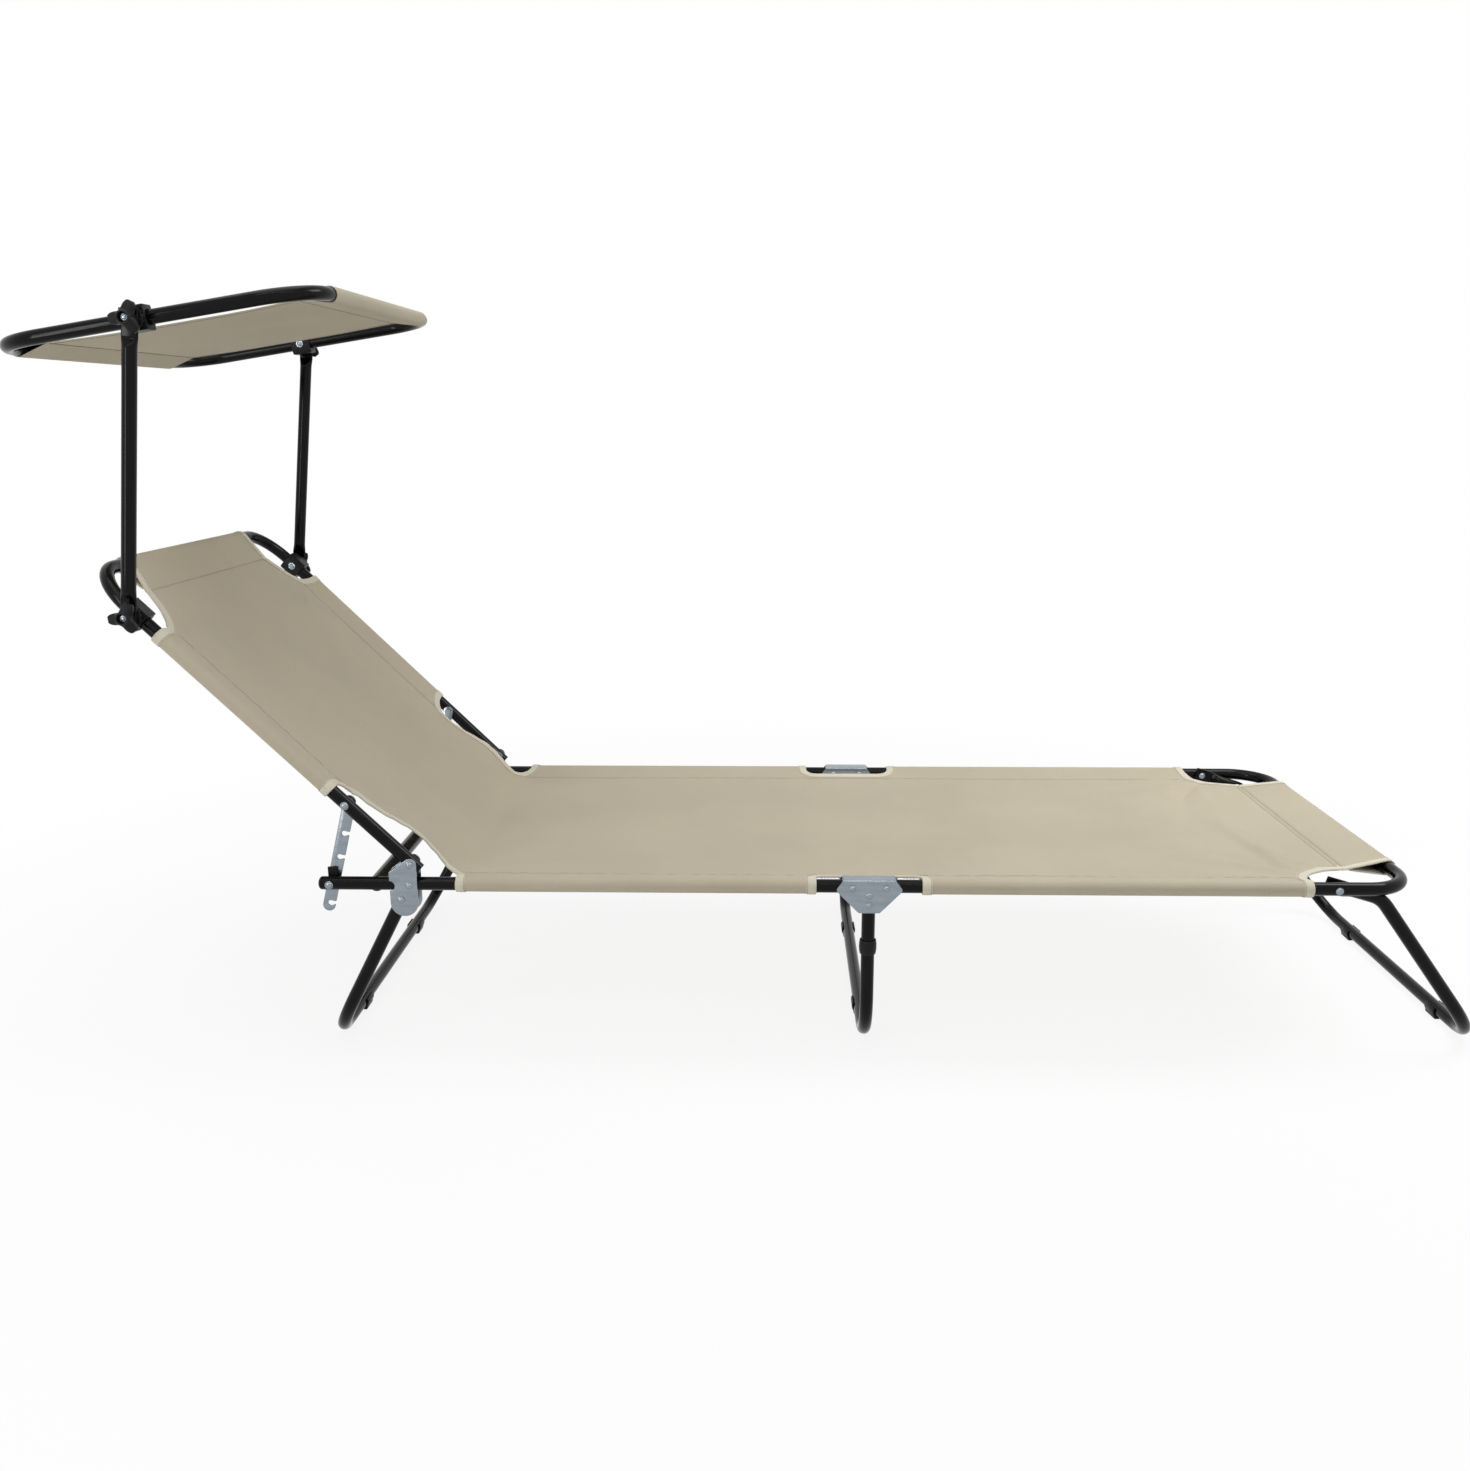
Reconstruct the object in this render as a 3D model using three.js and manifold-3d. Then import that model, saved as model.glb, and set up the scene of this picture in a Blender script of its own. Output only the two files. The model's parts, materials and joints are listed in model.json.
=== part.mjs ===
// A folding three-leg sun lounger with a sling of woven cloth and a small adjustable sun canopy.
// Millimetres, +Z up. The head end is at -X, the foot end at +X, and the two sides are along Y.
import * as THREE from 'three';
import { mergeVertices } from 'three/addons/utils/BufferGeometryUtils.js';
import Module from 'manifold-3d';

const wasm = await Module();
wasm.setup();

// Frame: centre-line sizes of the bent tubes
const frameWidth = 562;
const seatHeight = 245;
const pivotToMiddle = 609;
const middleToFoot = 716;
const backLength = 547;
const backAngle = THREE.MathUtils.degToRad(45);
const tubeRadius = 9;
const tubeWall = 1.2;
const frameBend = 62;
const legBend = 75;
const stubLength = 122;
const backTail = 14;

// Play and overrun
const runningGap = 0.3;
const seatGap = 0.4;
const overrun = 4;
const mergeDistance = 1e-4;

// Sheet metal, rivets and pivots
const sheetThickness = 2;
const rivetRadius = 3;
const rivetHeadRadius = 5.4;
const rivetHeadHeight = 2.4;

// Rear bracket: places are measured from the backrest pivot (x) and the rail's centre line (z)
const pivotAboveRail = 29;
const railRivetBack = 2;
const legPivotBack = 14;
const legPivotDrop = 20;
const bracketBack = 28.5;
const bracketFront = 8.5;
const bracketDrop = 42.5;
const bracketFootRadius = 18.5;
const bracketLobeRadius = 9;
const bracketLobeStart = THREE.MathUtils.degToRad(150);
const bracketShoulder = 20;
const bracketNotchRadius = 7;

// Middle bracket: an inverted channel over the two rail ends and the leg
const middlePivotSpacing = 44.8;
const channelTopGap = 0.9;
const channelTopHalf = 34;
const channelEarHalf = 43;
const channelEarDrop = 4;
const channelFootHalf = 14;
const channelFootDrop = 34;
const legRivetDrop = 10;
const legRivetSpacing = 14;

// Legs
const legLiftOff = 12;
const rearFootBack = 126;
const frontPivotBeforeFoot = 104;
const frontKneeBeforeFoot = 36;
const frontKneeDrop = 20;
const frontKneeRadius = 38;
const frontFootBeyond = 121;
const legFlatHalfDepth = 1.9;
const legFlatHalfWidth = 11;
const legFlatBeyond = 11;
const legTaper = 22;

// Plastic feet and bumpers that clip on the leg tubes
const footSpacing = 288;
const footLength = 26;
const footHalfWidth = 12.5;
const footRise = 16;
const clipMouthHalf = 6.5;
const footChamfer = 3;
const bumperDrop = 85;
const bumperHeight = 20;
const bumperProud = 2.8;
const bumperRim = 1.4;

// Cross bar and backrest adjuster
const crossBarBack = 49.5;
const crossBarRadius = 10.5;
const crossBarDrop = 1;
const pinBack = 110.5;
const adjusterAlong = 115;
const stripWidth = 17;
const stripInset = 13;
const notchPitch = 34;
const notchWidth = 7.4;
const notchDepth = 10.5;
const notchLip = 2.4;
const notchesAbovePin = 2;
const notchesBelowPin = 1;
const stripTail = 12;
const guideWidth = 13;
const guideRise = 10;
const guideDrop = 10;
const capLength = 5;
const capPlug = 7;

// Canopy
const clampBeforeHead = 76;
const armLength = 363;
const armLean = THREE.MathUtils.degToRad(7);
const canopyTilt = THREE.MathUtils.degToRad(-8.8);
const canopyBehind = 195;
const canopyAhead = 216;
const canopyBend = 66;
const canopyJointGap = 0.5;
const clampLength = 30;
const clampHeight = 30;
const clampWall = 3;
const clampReach = 13;
const discRadius = 15;
const discThickness = 5.4;
const discTeeth = 15;
const discToothDepth = 1.4;
const armFlatHalfDepth = 2;
const armFlatHalfWidth = 10.5;
const armFlatBeyond = 10;
const armTaper = 16;
const boltRadius = 3;
const boltHeadRadius = 5.6;
const boltHeadHeight = 3.4;
const knobHubRadius = 9;
const knobHubLength = 5.5;
const knobThickness = 11;
const knobMeanRadius = 14.5;
const knobLobes = 3;
const knobTurn = THREE.MathUtils.degToRad(-72);
const knobLobe = 4.8;
const knobRecessRadius = 5.4;
const knobRecessDepth = 5;
const knobBevel = 1.6;

// Cloth: one sling over the seat and backrest, and one sheet on the canopy
const clothThickness = 1.6;
const clothAboveRail = 1;
const clothDip = 7;
const dipFade = 160;
const seamLap = 4;
const sideSeamInset = 38;
const backLoopStart = 142;
const backLoopBeforeHead = 112;
const headSeamInset = 46;
const hingeCutInset = 45;
const hingeCutCorner = 24;
const hingeTangent = 108;
const hingeFlapEnd = 47;
const hingeFlapRise = 14;
const seatClothStart = 52;
const seatLoopStart = 60;
const middleGap = 1;
const middleCutLength = 71;
const middleCutInset = 26;
const middleCutCorner = 16;
const footLoopEnd = 137;
const footSeamInset = 60;
const endCutStart = 15;
const endSeamInset = 75;
const endPocketInset = 86;
const canopyPocketInset = 69;
const canopySeamInset = 40;
const canopyDip = 5;

// Facets
const tubeSides = 12;
const boreSides = 6;
const holeSides = 8;
const bendSteps = 5;
const roundSides = 8;
const knobPoints = 24;
const clothSteps = 8;
const clothRows = 6;
const loopSteps = 8;
const cornerSteps = 3;

// Sizes that follow from the ones above
const halfWidth = frameWidth / 2;
const boreRadius = tubeRadius - tubeWall;
const drillReach = tubeRadius + overrun;
const holeRadius = rivetRadius + runningGap;
const cheekInside = tubeRadius + runningGap;
const cheekOutside = cheekInside + sheetThickness;
const endRadius = tubeRadius + runningGap;
const middlePivot = middlePivotSpacing / 2;
const footBar = pivotToMiddle + middleToFoot;
const legPivotHeight = seatHeight - legPivotDrop;
const frontLegHalf = halfWidth - 2 * tubeRadius - seatGap;
const frontLegInside = halfWidth - tubeRadius - seatGap - 2 * legFlatHalfDepth;
const clampAlong = backLength - clampBeforeHead;
const clampOutside = clampReach + discThickness;
const armPlane = clampOutside + runningGap + armFlatHalfDepth;
const knobInside = armPlane + armFlatHalfDepth + runningGap;
const sideSeam = halfWidth - sideSeamInset;
const backLoopEnd = backLength - backLoopBeforeHead;
const hingeCutHalf = halfWidth - hingeCutInset;
const middleCutHalf = halfWidth - middleCutInset;
const endSeamHalf = halfWidth - endSeamInset;
const endPocketHalf = halfWidth - endPocketInset;
const canopyPocketHalf = halfWidth - canopyPocketInset;
const loopBore = tubeRadius + seatGap;
const loopRadius = loopBore + clothThickness;
const halfShare = 0.5;

// Geometry helpers

// A geometry with only its corners, shared between faces, and turned so that its faces point out.
function closed(geometry) {
  const bare = geometry.index ? geometry.toNonIndexed() : geometry.clone();
  bare.deleteAttribute('normal');
  bare.deleteAttribute('uv');
  const merged = mergeVertices(bare, mergeDistance);
  const index = merged.index.array;
  const kept = [];
  for (let i = 0; i < index.length; i += 3) {
    const [a, b, c] = [index[i], index[i + 1], index[i + 2]];
    if (a !== b && b !== c && c !== a) {
      kept.push(a, b, c);
    }
  }
  merged.setIndex(kept);
  if (signedVolume(merged) < 0) {
    merged.setIndex(kept.reverse());
  }
  return merged;
}

function signedVolume(geometry) {
  const place = geometry.attributes.position;
  const index = geometry.index.array;
  const a = new THREE.Vector3();
  const b = new THREE.Vector3();
  const c = new THREE.Vector3();
  let sum = 0;
  for (let i = 0; i < index.length; i += 3) {
    a.fromBufferAttribute(place, index[i]);
    b.fromBufferAttribute(place, index[i + 1]);
    c.fromBufferAttribute(place, index[i + 2]);
    sum += a.dot(b.cross(c));
  }
  return sum;
}

function solid(geometry) {
  const shell = closed(geometry);
  return new wasm.Manifold(new wasm.Mesh({
    numProp: 3,
    vertProperties: new Float32Array(shell.attributes.position.array),
    triVerts: new Uint32Array(shell.index.array),
  }));
}

function surface(body) {
  const mesh = body.getMesh();
  const geometry = new THREE.BufferGeometry();
  geometry.setAttribute('position', new THREE.BufferAttribute(mesh.vertProperties, 3));
  geometry.setIndex(new THREE.BufferAttribute(mesh.triVerts, 1));
  return geometry.toNonIndexed();
}

function joined(...geometries) {
  return surface(geometries.map(solid).reduce((whole, next) => whole.add(next)));
}

function cut(geometry, ...tools) {
  return surface(tools.map(solid).reduce((whole, tool) => whole.subtract(tool), solid(geometry)));
}

function shift(geometry, x, y, z) {
  return geometry.clone().translate(x, y, z);
}

// The far side is modelled with its outside at +Y; side -1 mirrors it to the near side.
function onSide(geometry, side) {
  return closed(geometry.clone().scale(1, side, 1));
}

function block(x0, x1, y0, y1, z0, z1) {
  const box = new THREE.BoxGeometry(x1 - x0, y1 - y0, z1 - z0);
  return box.translate((x0 + x1) / 2, (y0 + y1) / 2, (z0 + z1) / 2);
}

function circlePoints(radius, count) {
  const points = [];
  for (let i = 0; i < count; i++) {
    const angle = (i + halfShare) * 2 * Math.PI / count;
    points.push(new THREE.Vector2(radius * Math.cos(angle), radius * Math.sin(angle)));
  }
  return points;
}

// A round bar along Y at (x, z), from y0 to y1.
function barY(radius, x, y0, y1, z, sides = roundSides) {
  const bar = new THREE.ExtrudeGeometry(new THREE.Shape(circlePoints(radius, sides)), {
    depth: y1 - y0, bevelEnabled: false,
  });
  return bar.rotateX(-Math.PI / 2).translate(x, y0, z);
}

// A flat plate whose outline is drawn in X and Z, from y0 to y1.
function plateXZ(shape, y0, y1) {
  const plate = new THREE.ExtrudeGeometry(shape, {
    depth: y1 - y0, bevelEnabled: false, curveSegments: bendSteps,
  });
  return plate.rotateX(Math.PI / 2).translate(0, y1, 0);
}

// A prism whose outline is drawn in X and Y, from z0 to z1.
function prismXY(points, z0, z1) {
  const prism = new THREE.ExtrudeGeometry(new THREE.Shape(points), { depth: z1 - z0, bevelEnabled: false });
  return prism.translate(0, 0, z0);
}

// A section drawn in Y and Z, from x0 to x1.
function barX(shape, x0, x1) {
  const bar = new THREE.ExtrudeGeometry(shape, { depth: x1 - x0, bevelEnabled: false });
  const basis = new THREE.Matrix4().makeBasis(
    new THREE.Vector3(0, 1, 0), new THREE.Vector3(0, 0, 1), new THREE.Vector3(1, 0, 0));
  return bar.applyMatrix4(basis).translate(x0, 0, 0);
}

// A turned piece about Y from [radius, y] pairs.
function turnedY(profile, x, z, sides = roundSides) {
  const points = profile.map(([radius, y]) => new THREE.Vector2(radius, y));
  return new THREE.LatheGeometry(points, sides).translate(x, 0, z);
}

// A route through corners with round bends, as stations with a place and a direction.
class BentRoute extends THREE.Curve {
  constructor(corners, radii) {
    super();
    this.places = [];
    this.headings = [];
    corners.forEach((corner, i) => {
      if (i === 0 || i === corners.length - 1) {
        const other = corners[i === 0 ? 1 : i - 1];
        const heading = other.clone().sub(corner).normalize().multiplyScalar(i === 0 ? 1 : -1);
        this.places.push(corner);
        this.headings.push(heading);
      } else {
        this.bend(corners[i - 1], corner, corners[i + 1], radii[i - 1]);
      }
    });
  }

  bend(before, corner, after, radius) {
    const inward = corner.clone().sub(before).normalize();
    const outward = after.clone().sub(corner).normalize();
    const turn = inward.angleTo(outward);
    const setback = radius * Math.tan(turn / 2);
    const start = corner.clone().addScaledVector(inward, -setback);
    const across = outward.clone().addScaledVector(inward, -outward.dot(inward)).normalize();
    const steps = Math.max(2, Math.round(bendSteps * turn / (Math.PI / 2)));
    for (let i = 0; i <= steps; i++) {
      const angle = turn * i / steps;
      const place = start.clone();
      place.addScaledVector(inward, radius * Math.sin(angle));
      place.addScaledVector(across, radius * (1 - Math.cos(angle)));
      const heading = inward.clone().multiplyScalar(Math.cos(angle));
      heading.addScaledVector(across, Math.sin(angle));
      this.places.push(place);
      this.headings.push(heading);
    }
  }

  getPoint(t) {
    return this.places[Math.round(t * (this.places.length - 1))].clone();
  }

  getTangent(t) {
    return this.headings[Math.round(t * (this.headings.length - 1))].clone();
  }

  getPointAt(u) {
    return this.getPoint(u);
  }

  getTangentAt(u) {
    return this.getTangent(u);
  }
}

// A hollow round tube with open ends along a route.
function tubeAlong(corners, radii = [], radius = tubeRadius, bore = boreRadius) {
  const route = new BentRoute(corners, radii);
  const section = new THREE.Shape(circlePoints(radius, tubeSides));
  section.holes.push(new THREE.Path(circlePoints(bore, boreSides)));
  return new THREE.ExtrudeGeometry(section, {
    steps: route.places.length - 1, bevelEnabled: false, extrudePath: route,
  });
}

// A tube with rivet holes through it on one side, at places given as [x, z].
function drilled(tube, places, side = 1) {
  const middle = side * halfWidth;
  const holes = [];
  for (const [x, z] of places) {
    holes.push(barY(holeRadius, x, middle - drillReach, middle + drillReach, z, holeSides));
  }
  return cut(tube, ...holes);
}

function roundHole(x, z) {
  const centre = new THREE.Vector2(x, z);
  return new THREE.Path(circlePoints(holeRadius, holeSides).map((point) => point.add(centre)));
}

// What is cut off a tube's end at +X of its pivot, so that the end is round and turns close under a sheet.
function endWaste() {
  const reach = 2 * endRadius;
  const beyond = block(0, reach, halfWidth - reach, halfWidth + reach, -reach, reach);
  const keep = barY(endRadius, 0, halfWidth - 2 * reach, halfWidth + 2 * reach, 0, 2 * roundSides);
  return surface(solid(beyond).subtract(solid(keep)));
}

// A closed skin over rings of equal point counts, with both ends filled in strips.
function skin(rings) {
  const count = rings[0].length;
  const faces = [];
  for (let r = 0; r < rings.length - 1; r++) {
    for (let i = 0; i < count; i++) {
      const a = r * count + i;
      const b = r * count + (i + 1) % count;
      faces.push(a, b, b + count, a, b + count, a + count);
    }
  }
  const last = (rings.length - 1) * count;
  for (let i = 0; i < count / 2 - 1; i++) {
    const a = i;
    const b = i + 1;
    const c = count - 2 - i;
    const d = count - 1 - i;
    faces.push(a, c, b, a, d, c);
    faces.push(last + a, last + b, last + c, last + a, last + c, last + d);
  }
  const geometry = new THREE.BufferGeometry().setFromPoints(rings.flat());
  geometry.setIndex(faces);
  return closed(geometry);
}

// A section of a tube pressed flat: wide is half its width along across, deep is half its depth along Y.
function pressedRing(centre, across, wide, deep, count) {
  return circlePoints(deep, count).map((point) => {
    const reach = point.x + Math.sign(point.x) * (wide - deep);
    const place = centre.clone().addScaledVector(across, reach);
    place.y += point.y;
    return place;
  });
}

// A straight tube through stations of [distance, half width, half depth].
// Its outer face stays flush when flush is 1.
function pressedTube(start, along, stations, flush) {
  const across = new THREE.Vector3(along.z, 0, -along.x);
  const ends = [0, stations.length - 1];
  const build = (count, wall) => skin(stations.map(([distance, wide, deep], i) => {
    const extra = wall > 0 && ends.includes(i) ? (i === 0 ? -overrun : overrun) : 0;
    const centre = start.clone().addScaledVector(along, distance + extra);
    centre.y += flush * (tubeRadius - deep);
    return pressedRing(centre, across, wide - wall, deep - wall, count);
  }));
  return { outer: build(tubeSides, 0), bore: build(boreSides, tubeWall) };
}

// Finishes
function powderCoat() {
  return new THREE.MeshStandardMaterial({ color: 0x141416, roughness: 0.28, metalness: 0.2 });
}

function zinc() {
  return new THREE.MeshStandardMaterial({ color: 0x9aa1a8, roughness: 0.35, metalness: 0.9 });
}

function blackPlastic() {
  return new THREE.MeshStandardMaterial({ color: 0x18181a, roughness: 0.55, metalness: 0 });
}

function beigeCloth() {
  return new THREE.MeshStandardMaterial({ color: 0xc2b8a0, roughness: 0.9, metalness: 0 });
}

function part(group, name, geometry, finish) {
  const mesh = new THREE.Mesh(closed(geometry), finish());
  mesh.geometry.computeVertexNormals();
  mesh.name = name;
  group.add(mesh);
  return mesh;
}

function groupAt(parent, x, y, z, turn = 0) {
  const group = new THREE.Group();
  group.position.set(x, y, z);
  group.rotation.y = turn;
  parent.add(group);
  return group;
}

const sides = [['near', -1], ['far', 1]];

// Fasteners

// A domed rivet along Y through a stack from inner to outer, measured from the frame's centre plane.
function rivet(x, z, inner, outer) {
  const crown = rivetHeadRadius * halfShare;
  const brow = rivetHeadHeight * halfShare;
  return turnedY([
    [0, inner - rivetHeadHeight], [crown, inner - rivetHeadHeight], [rivetHeadRadius, inner - brow],
    [rivetHeadRadius, inner], [rivetRadius, inner], [rivetRadius, outer], [rivetHeadRadius, outer],
    [rivetHeadRadius, outer + brow], [crown, outer + rivetHeadHeight], [0, outer + rivetHeadHeight],
  ], x, z);
}

function cheekRivet(x, z) {
  const clear = cheekOutside + runningGap;
  return rivet(x, z, halfWidth - clear, halfWidth + clear);
}

// The same rivet clenched tight: its heads are one with the cheeks.
function fixedRivet(x, z) {
  return rivet(x, z, halfWidth - cheekOutside, halfWidth + cheekOutside);
}

// Middle stand

function channelCheek() {
  const top = tubeRadius + channelTopGap + sheetThickness;
  const shape = new THREE.Shape();
  shape.moveTo(-channelTopHalf, top);
  shape.lineTo(-channelEarHalf, 0);
  shape.lineTo(-channelEarHalf, -channelEarDrop);
  shape.lineTo(-channelFootHalf, -channelFootDrop);
  shape.lineTo(channelFootHalf, -channelFootDrop);
  shape.lineTo(channelEarHalf, -channelEarDrop);
  shape.lineTo(channelEarHalf, 0);
  shape.lineTo(channelTopHalf, top);
  for (const x of [-middlePivot, middlePivot]) {
    shape.holes.push(roundHole(x, 0));
  }
  return shape;
}

function middleBracket() {
  const underside = tubeRadius + channelTopGap;
  const outer = plateXZ(channelCheek(), halfWidth + cheekInside, halfWidth + cheekOutside);
  const inner = plateXZ(channelCheek(), halfWidth - cheekOutside, halfWidth - cheekInside);
  const top = block(-channelTopHalf, channelTopHalf, halfWidth - cheekOutside, halfWidth + cheekOutside,
    underside, underside + sheetThickness);
  const upper = fixedRivet(0, -legRivetDrop);
  const lower = fixedRivet(0, -legRivetDrop - legRivetSpacing);
  return joined(outer, inner, top, upper, lower);
}

function legU(topZ, footZ, half) {
  return tubeAlong([
    new THREE.Vector3(0, -half, topZ), new THREE.Vector3(0, -half, footZ),
    new THREE.Vector3(0, half, footZ), new THREE.Vector3(0, half, topZ),
  ], [legBend, legBend]);
}

function drilledBothSides(tube, places) {
  return drilled(surface(solid(drilled(tube, places, 1))), places, -1);
}

function addMiddleStand(lounger) {
  const stand = groupAt(lounger, pivotToMiddle, 0, seatHeight);
  const footZ = legLiftOff - seatHeight;
  const leg = legU(-runningGap, footZ, halfWidth);
  const rivets = [[0, -legRivetDrop], [0, -legRivetDrop - legRivetSpacing]];
  part(stand, 'middle_leg', drilledBothSides(leg, rivets), powderCoat);
  for (const [word, side] of sides) {
    part(stand, `middle_bracket_${word}`, onSide(middleBracket(), side), zinc);
    part(stand, `rear_rail_pivot_${word}`, onSide(cheekRivet(-middlePivot, 0), side), zinc);
    part(stand, `front_rail_pivot_${word}`, onSide(cheekRivet(middlePivot, 0), side), zinc);
    part(stand, `middle_bumper_${word}`, onSide(bumper(), side), blackPlastic);
    const foot = part(stand, `middle_foot_${word}`, footClip(), blackPlastic);
    foot.position.set(0, side * footSpacing / 2, footZ);
  }
}

// Feet and bumpers

// A saddle that snaps up round a ground bar along Y; its underside is flat on the floor.
function footClip() {
  const grip = tubeRadius + runningGap;
  const mouth = Math.asin(clipMouthHalf / grip);
  const shape = new THREE.Shape();
  shape.moveTo(-footHalfWidth + footChamfer, -legLiftOff);
  shape.lineTo(footHalfWidth - footChamfer, -legLiftOff);
  shape.lineTo(footHalfWidth, -legLiftOff + footChamfer);
  shape.lineTo(footHalfWidth, footRise - legLiftOff);
  shape.lineTo(clipMouthHalf, grip * Math.cos(mouth));
  const steps = 2 * bendSteps;
  for (let i = 1; i <= steps; i++) {
    const angle = Math.PI / 2 - mouth - i * (2 * Math.PI - 2 * mouth) / steps;
    shape.lineTo(grip * Math.cos(angle), grip * Math.sin(angle));
  }
  shape.lineTo(-footHalfWidth, footRise - legLiftOff);
  shape.lineTo(-footHalfWidth, -legLiftOff + footChamfer);
  return plateXZ(shape, -footLength / 2, footLength / 2);
}

// A collar round the upright leg that the folded rails come to rest against.
function bumper() {
  const grip = tubeRadius / Math.cos(Math.PI / tubeSides) + runningGap;
  const outer = grip + bumperProud;
  const collar = new THREE.LatheGeometry([
    new THREE.Vector2(grip, -bumperHeight / 2), new THREE.Vector2(grip + bumperRim, -bumperHeight / 2),
    new THREE.Vector2(outer, 0), new THREE.Vector2(grip + bumperRim, bumperHeight / 2),
    new THREE.Vector2(grip, bumperHeight / 2), new THREE.Vector2(grip, -bumperHeight / 2),
  ], tubeSides).rotateX(Math.PI / 2);
  const mouth = block(-clipMouthHalf, clipMouthHalf, -outer - overrun, 0,
    -bumperHeight / 2 - overrun, bumperHeight / 2 + overrun);
  return shift(cut(collar, mouth), 0, halfWidth, -bumperDrop);
}

// Rear half of the seat

function rearCheek() {
  const lobeX = bracketLobeRadius * Math.cos(bracketLobeStart);
  const lobeZ = pivotAboveRail + bracketLobeRadius * Math.sin(bracketLobeStart);
  const shape = new THREE.Shape();
  const footCentre = -bracketDrop + bracketFootRadius;
  const footMiddle = (bracketFront - bracketBack) / 2;
  shape.moveTo(-bracketBack, footCentre);
  shape.lineTo(-bracketBack, -bracketNotchRadius);
  shape.absarc(-bracketBack, 0, bracketNotchRadius, -Math.PI / 2, Math.PI / 2, false);
  shape.lineTo(-bracketBack, bracketShoulder);
  shape.lineTo(lobeX, lobeZ);
  shape.absarc(0, pivotAboveRail, bracketLobeRadius, bracketLobeStart, 0, true);
  shape.lineTo(bracketFront, footCentre);
  shape.absarc(footMiddle, footCentre, bracketFootRadius, 0, -Math.PI, true);
  for (const [x, z] of [[0, pivotAboveRail], [-legPivotBack, -legPivotDrop]]) {
    shape.holes.push(roundHole(x, z));
  }
  return shape;
}

function rearBracket() {
  const outer = plateXZ(rearCheek(), halfWidth + cheekInside, halfWidth + cheekOutside);
  const inner = plateXZ(rearCheek(), halfWidth - cheekOutside, halfWidth - cheekInside);
  const stopTop = pivotAboveRail - tubeRadius - runningGap;
  const stop = block(-bracketBack, -bracketBack + sheetThickness, halfWidth - cheekOutside,
    halfWidth + cheekOutside, tubeRadius + runningGap, stopTop);
  return joined(outer, inner, stop, fixedRivet(-railRivetBack, 0));
}

function rearRail() {
  const front = pivotToMiddle - middlePivot;
  const tube = tubeAlong([
    new THREE.Vector3(-stubLength, halfWidth, 0), new THREE.Vector3(front + endRadius, halfWidth, 0),
  ]);
  const bored = drilled(tube, [[-pinBack, 0], [-railRivetBack, 0], [front, 0]]);
  return cut(bored, shift(endWaste(), front, 0, 0));
}

function railCap() {
  const lip = tubeRadius - tubeWall / 2;
  const plug = boreRadius * Math.cos(Math.PI / boreSides) - runningGap;
  const cap = turnedY([
    [0, -capLength], [tubeRadius * halfShare, -capLength], [lip, -capLength / 2], [tubeRadius, -runningGap],
    [plug, -runningGap], [plug, capPlug], [0, capPlug],
  ], 0, 0, tubeSides).rotateZ(-Math.PI / 2);
  return cap.translate(-stubLength, halfWidth, 0);
}

function crossBar() {
  const tube = tubeAlong([
    new THREE.Vector3(-crossBarBack, -halfWidth, -crossBarDrop),
    new THREE.Vector3(-crossBarBack, halfWidth, -crossBarDrop),
  ], [], crossBarRadius, crossBarRadius - tubeWall);
  const saddles = [-1, 1].map((side) => {
    const rail = new THREE.CylinderGeometry(endRadius, endRadius, 2 * stubLength, 2 * tubeSides);
    const outside = block(-2 * stubLength, stubLength, side > 0 ? halfWidth : -halfWidth - stubLength,
      side > 0 ? halfWidth + stubLength : -halfWidth, -stubLength, stubLength);
    return joined(rail.rotateZ(Math.PI / 2).translate(-crossBarBack, side * halfWidth, 0), outside);
  });
  return cut(tube, ...saddles);
}

// The pin that a notch of the adjuster hangs on: a domed head outside and a plain end inside.
function adjusterPin() {
  const outer = halfWidth + tubeRadius + runningGap;
  const inner = halfWidth - stripInset + sheetThickness / 2 + runningGap;
  const crown = rivetHeadRadius * halfShare;
  const brow = rivetHeadHeight * halfShare;
  return turnedY([
    [0, inner], [rivetRadius, inner], [rivetRadius, outer], [rivetHeadRadius, outer],
    [rivetHeadRadius, outer + brow], [crown, outer + rivetHeadHeight], [0, outer + rivetHeadHeight],
  ], -pinBack, 0);
}

// A thin plastic shim that keeps the steel strip off the rail.
function stripGuide() {
  const inner = halfWidth - stripInset + sheetThickness / 2 + runningGap;
  const outer = halfWidth - tubeRadius - runningGap;
  const shape = new THREE.Shape();
  shape.moveTo(-pinBack - guideWidth / 2, -guideDrop);
  shape.lineTo(-pinBack + guideWidth / 2, -guideDrop);
  shape.lineTo(-pinBack + guideWidth / 2, tubeRadius + guideRise);
  shape.lineTo(-pinBack - guideWidth / 2, tubeRadius + guideRise);
  shape.holes.push(roundHole(-pinBack, 0));
  return plateXZ(shape, inner, outer);
}

function addRearHalf(lounger) {
  const half = groupAt(lounger, 0, 0, seatHeight);
  part(half, 'rear_cross_bar', crossBar(), powderCoat);
  part(half, 'cover_seat_rear', rearSeatCover(), beigeCloth);
  for (const [word, side] of sides) {
    part(half, `rear_rail_${word}`, onSide(rearRail(), side), powderCoat);
    part(half, `rail_cap_${word}`, onSide(railCap(), side), blackPlastic);
    part(half, `rear_bracket_${word}`, onSide(rearBracket(), side), zinc);
    part(half, `back_pivot_${word}`, onSide(cheekRivet(0, pivotAboveRail), side), zinc);
    part(half, `rear_leg_pivot_${word}`, onSide(cheekRivet(-legPivotBack, -legPivotDrop), side), zinc);
    part(half, `adjuster_pin_${word}`, onSide(adjusterPin(), side), zinc);
    part(half, `strip_guide_${word}`, onSide(stripGuide(), side), blackPlastic);
  }
}

// Rear leg: modelled hanging straight down from its pivot, then leaned back

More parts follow.
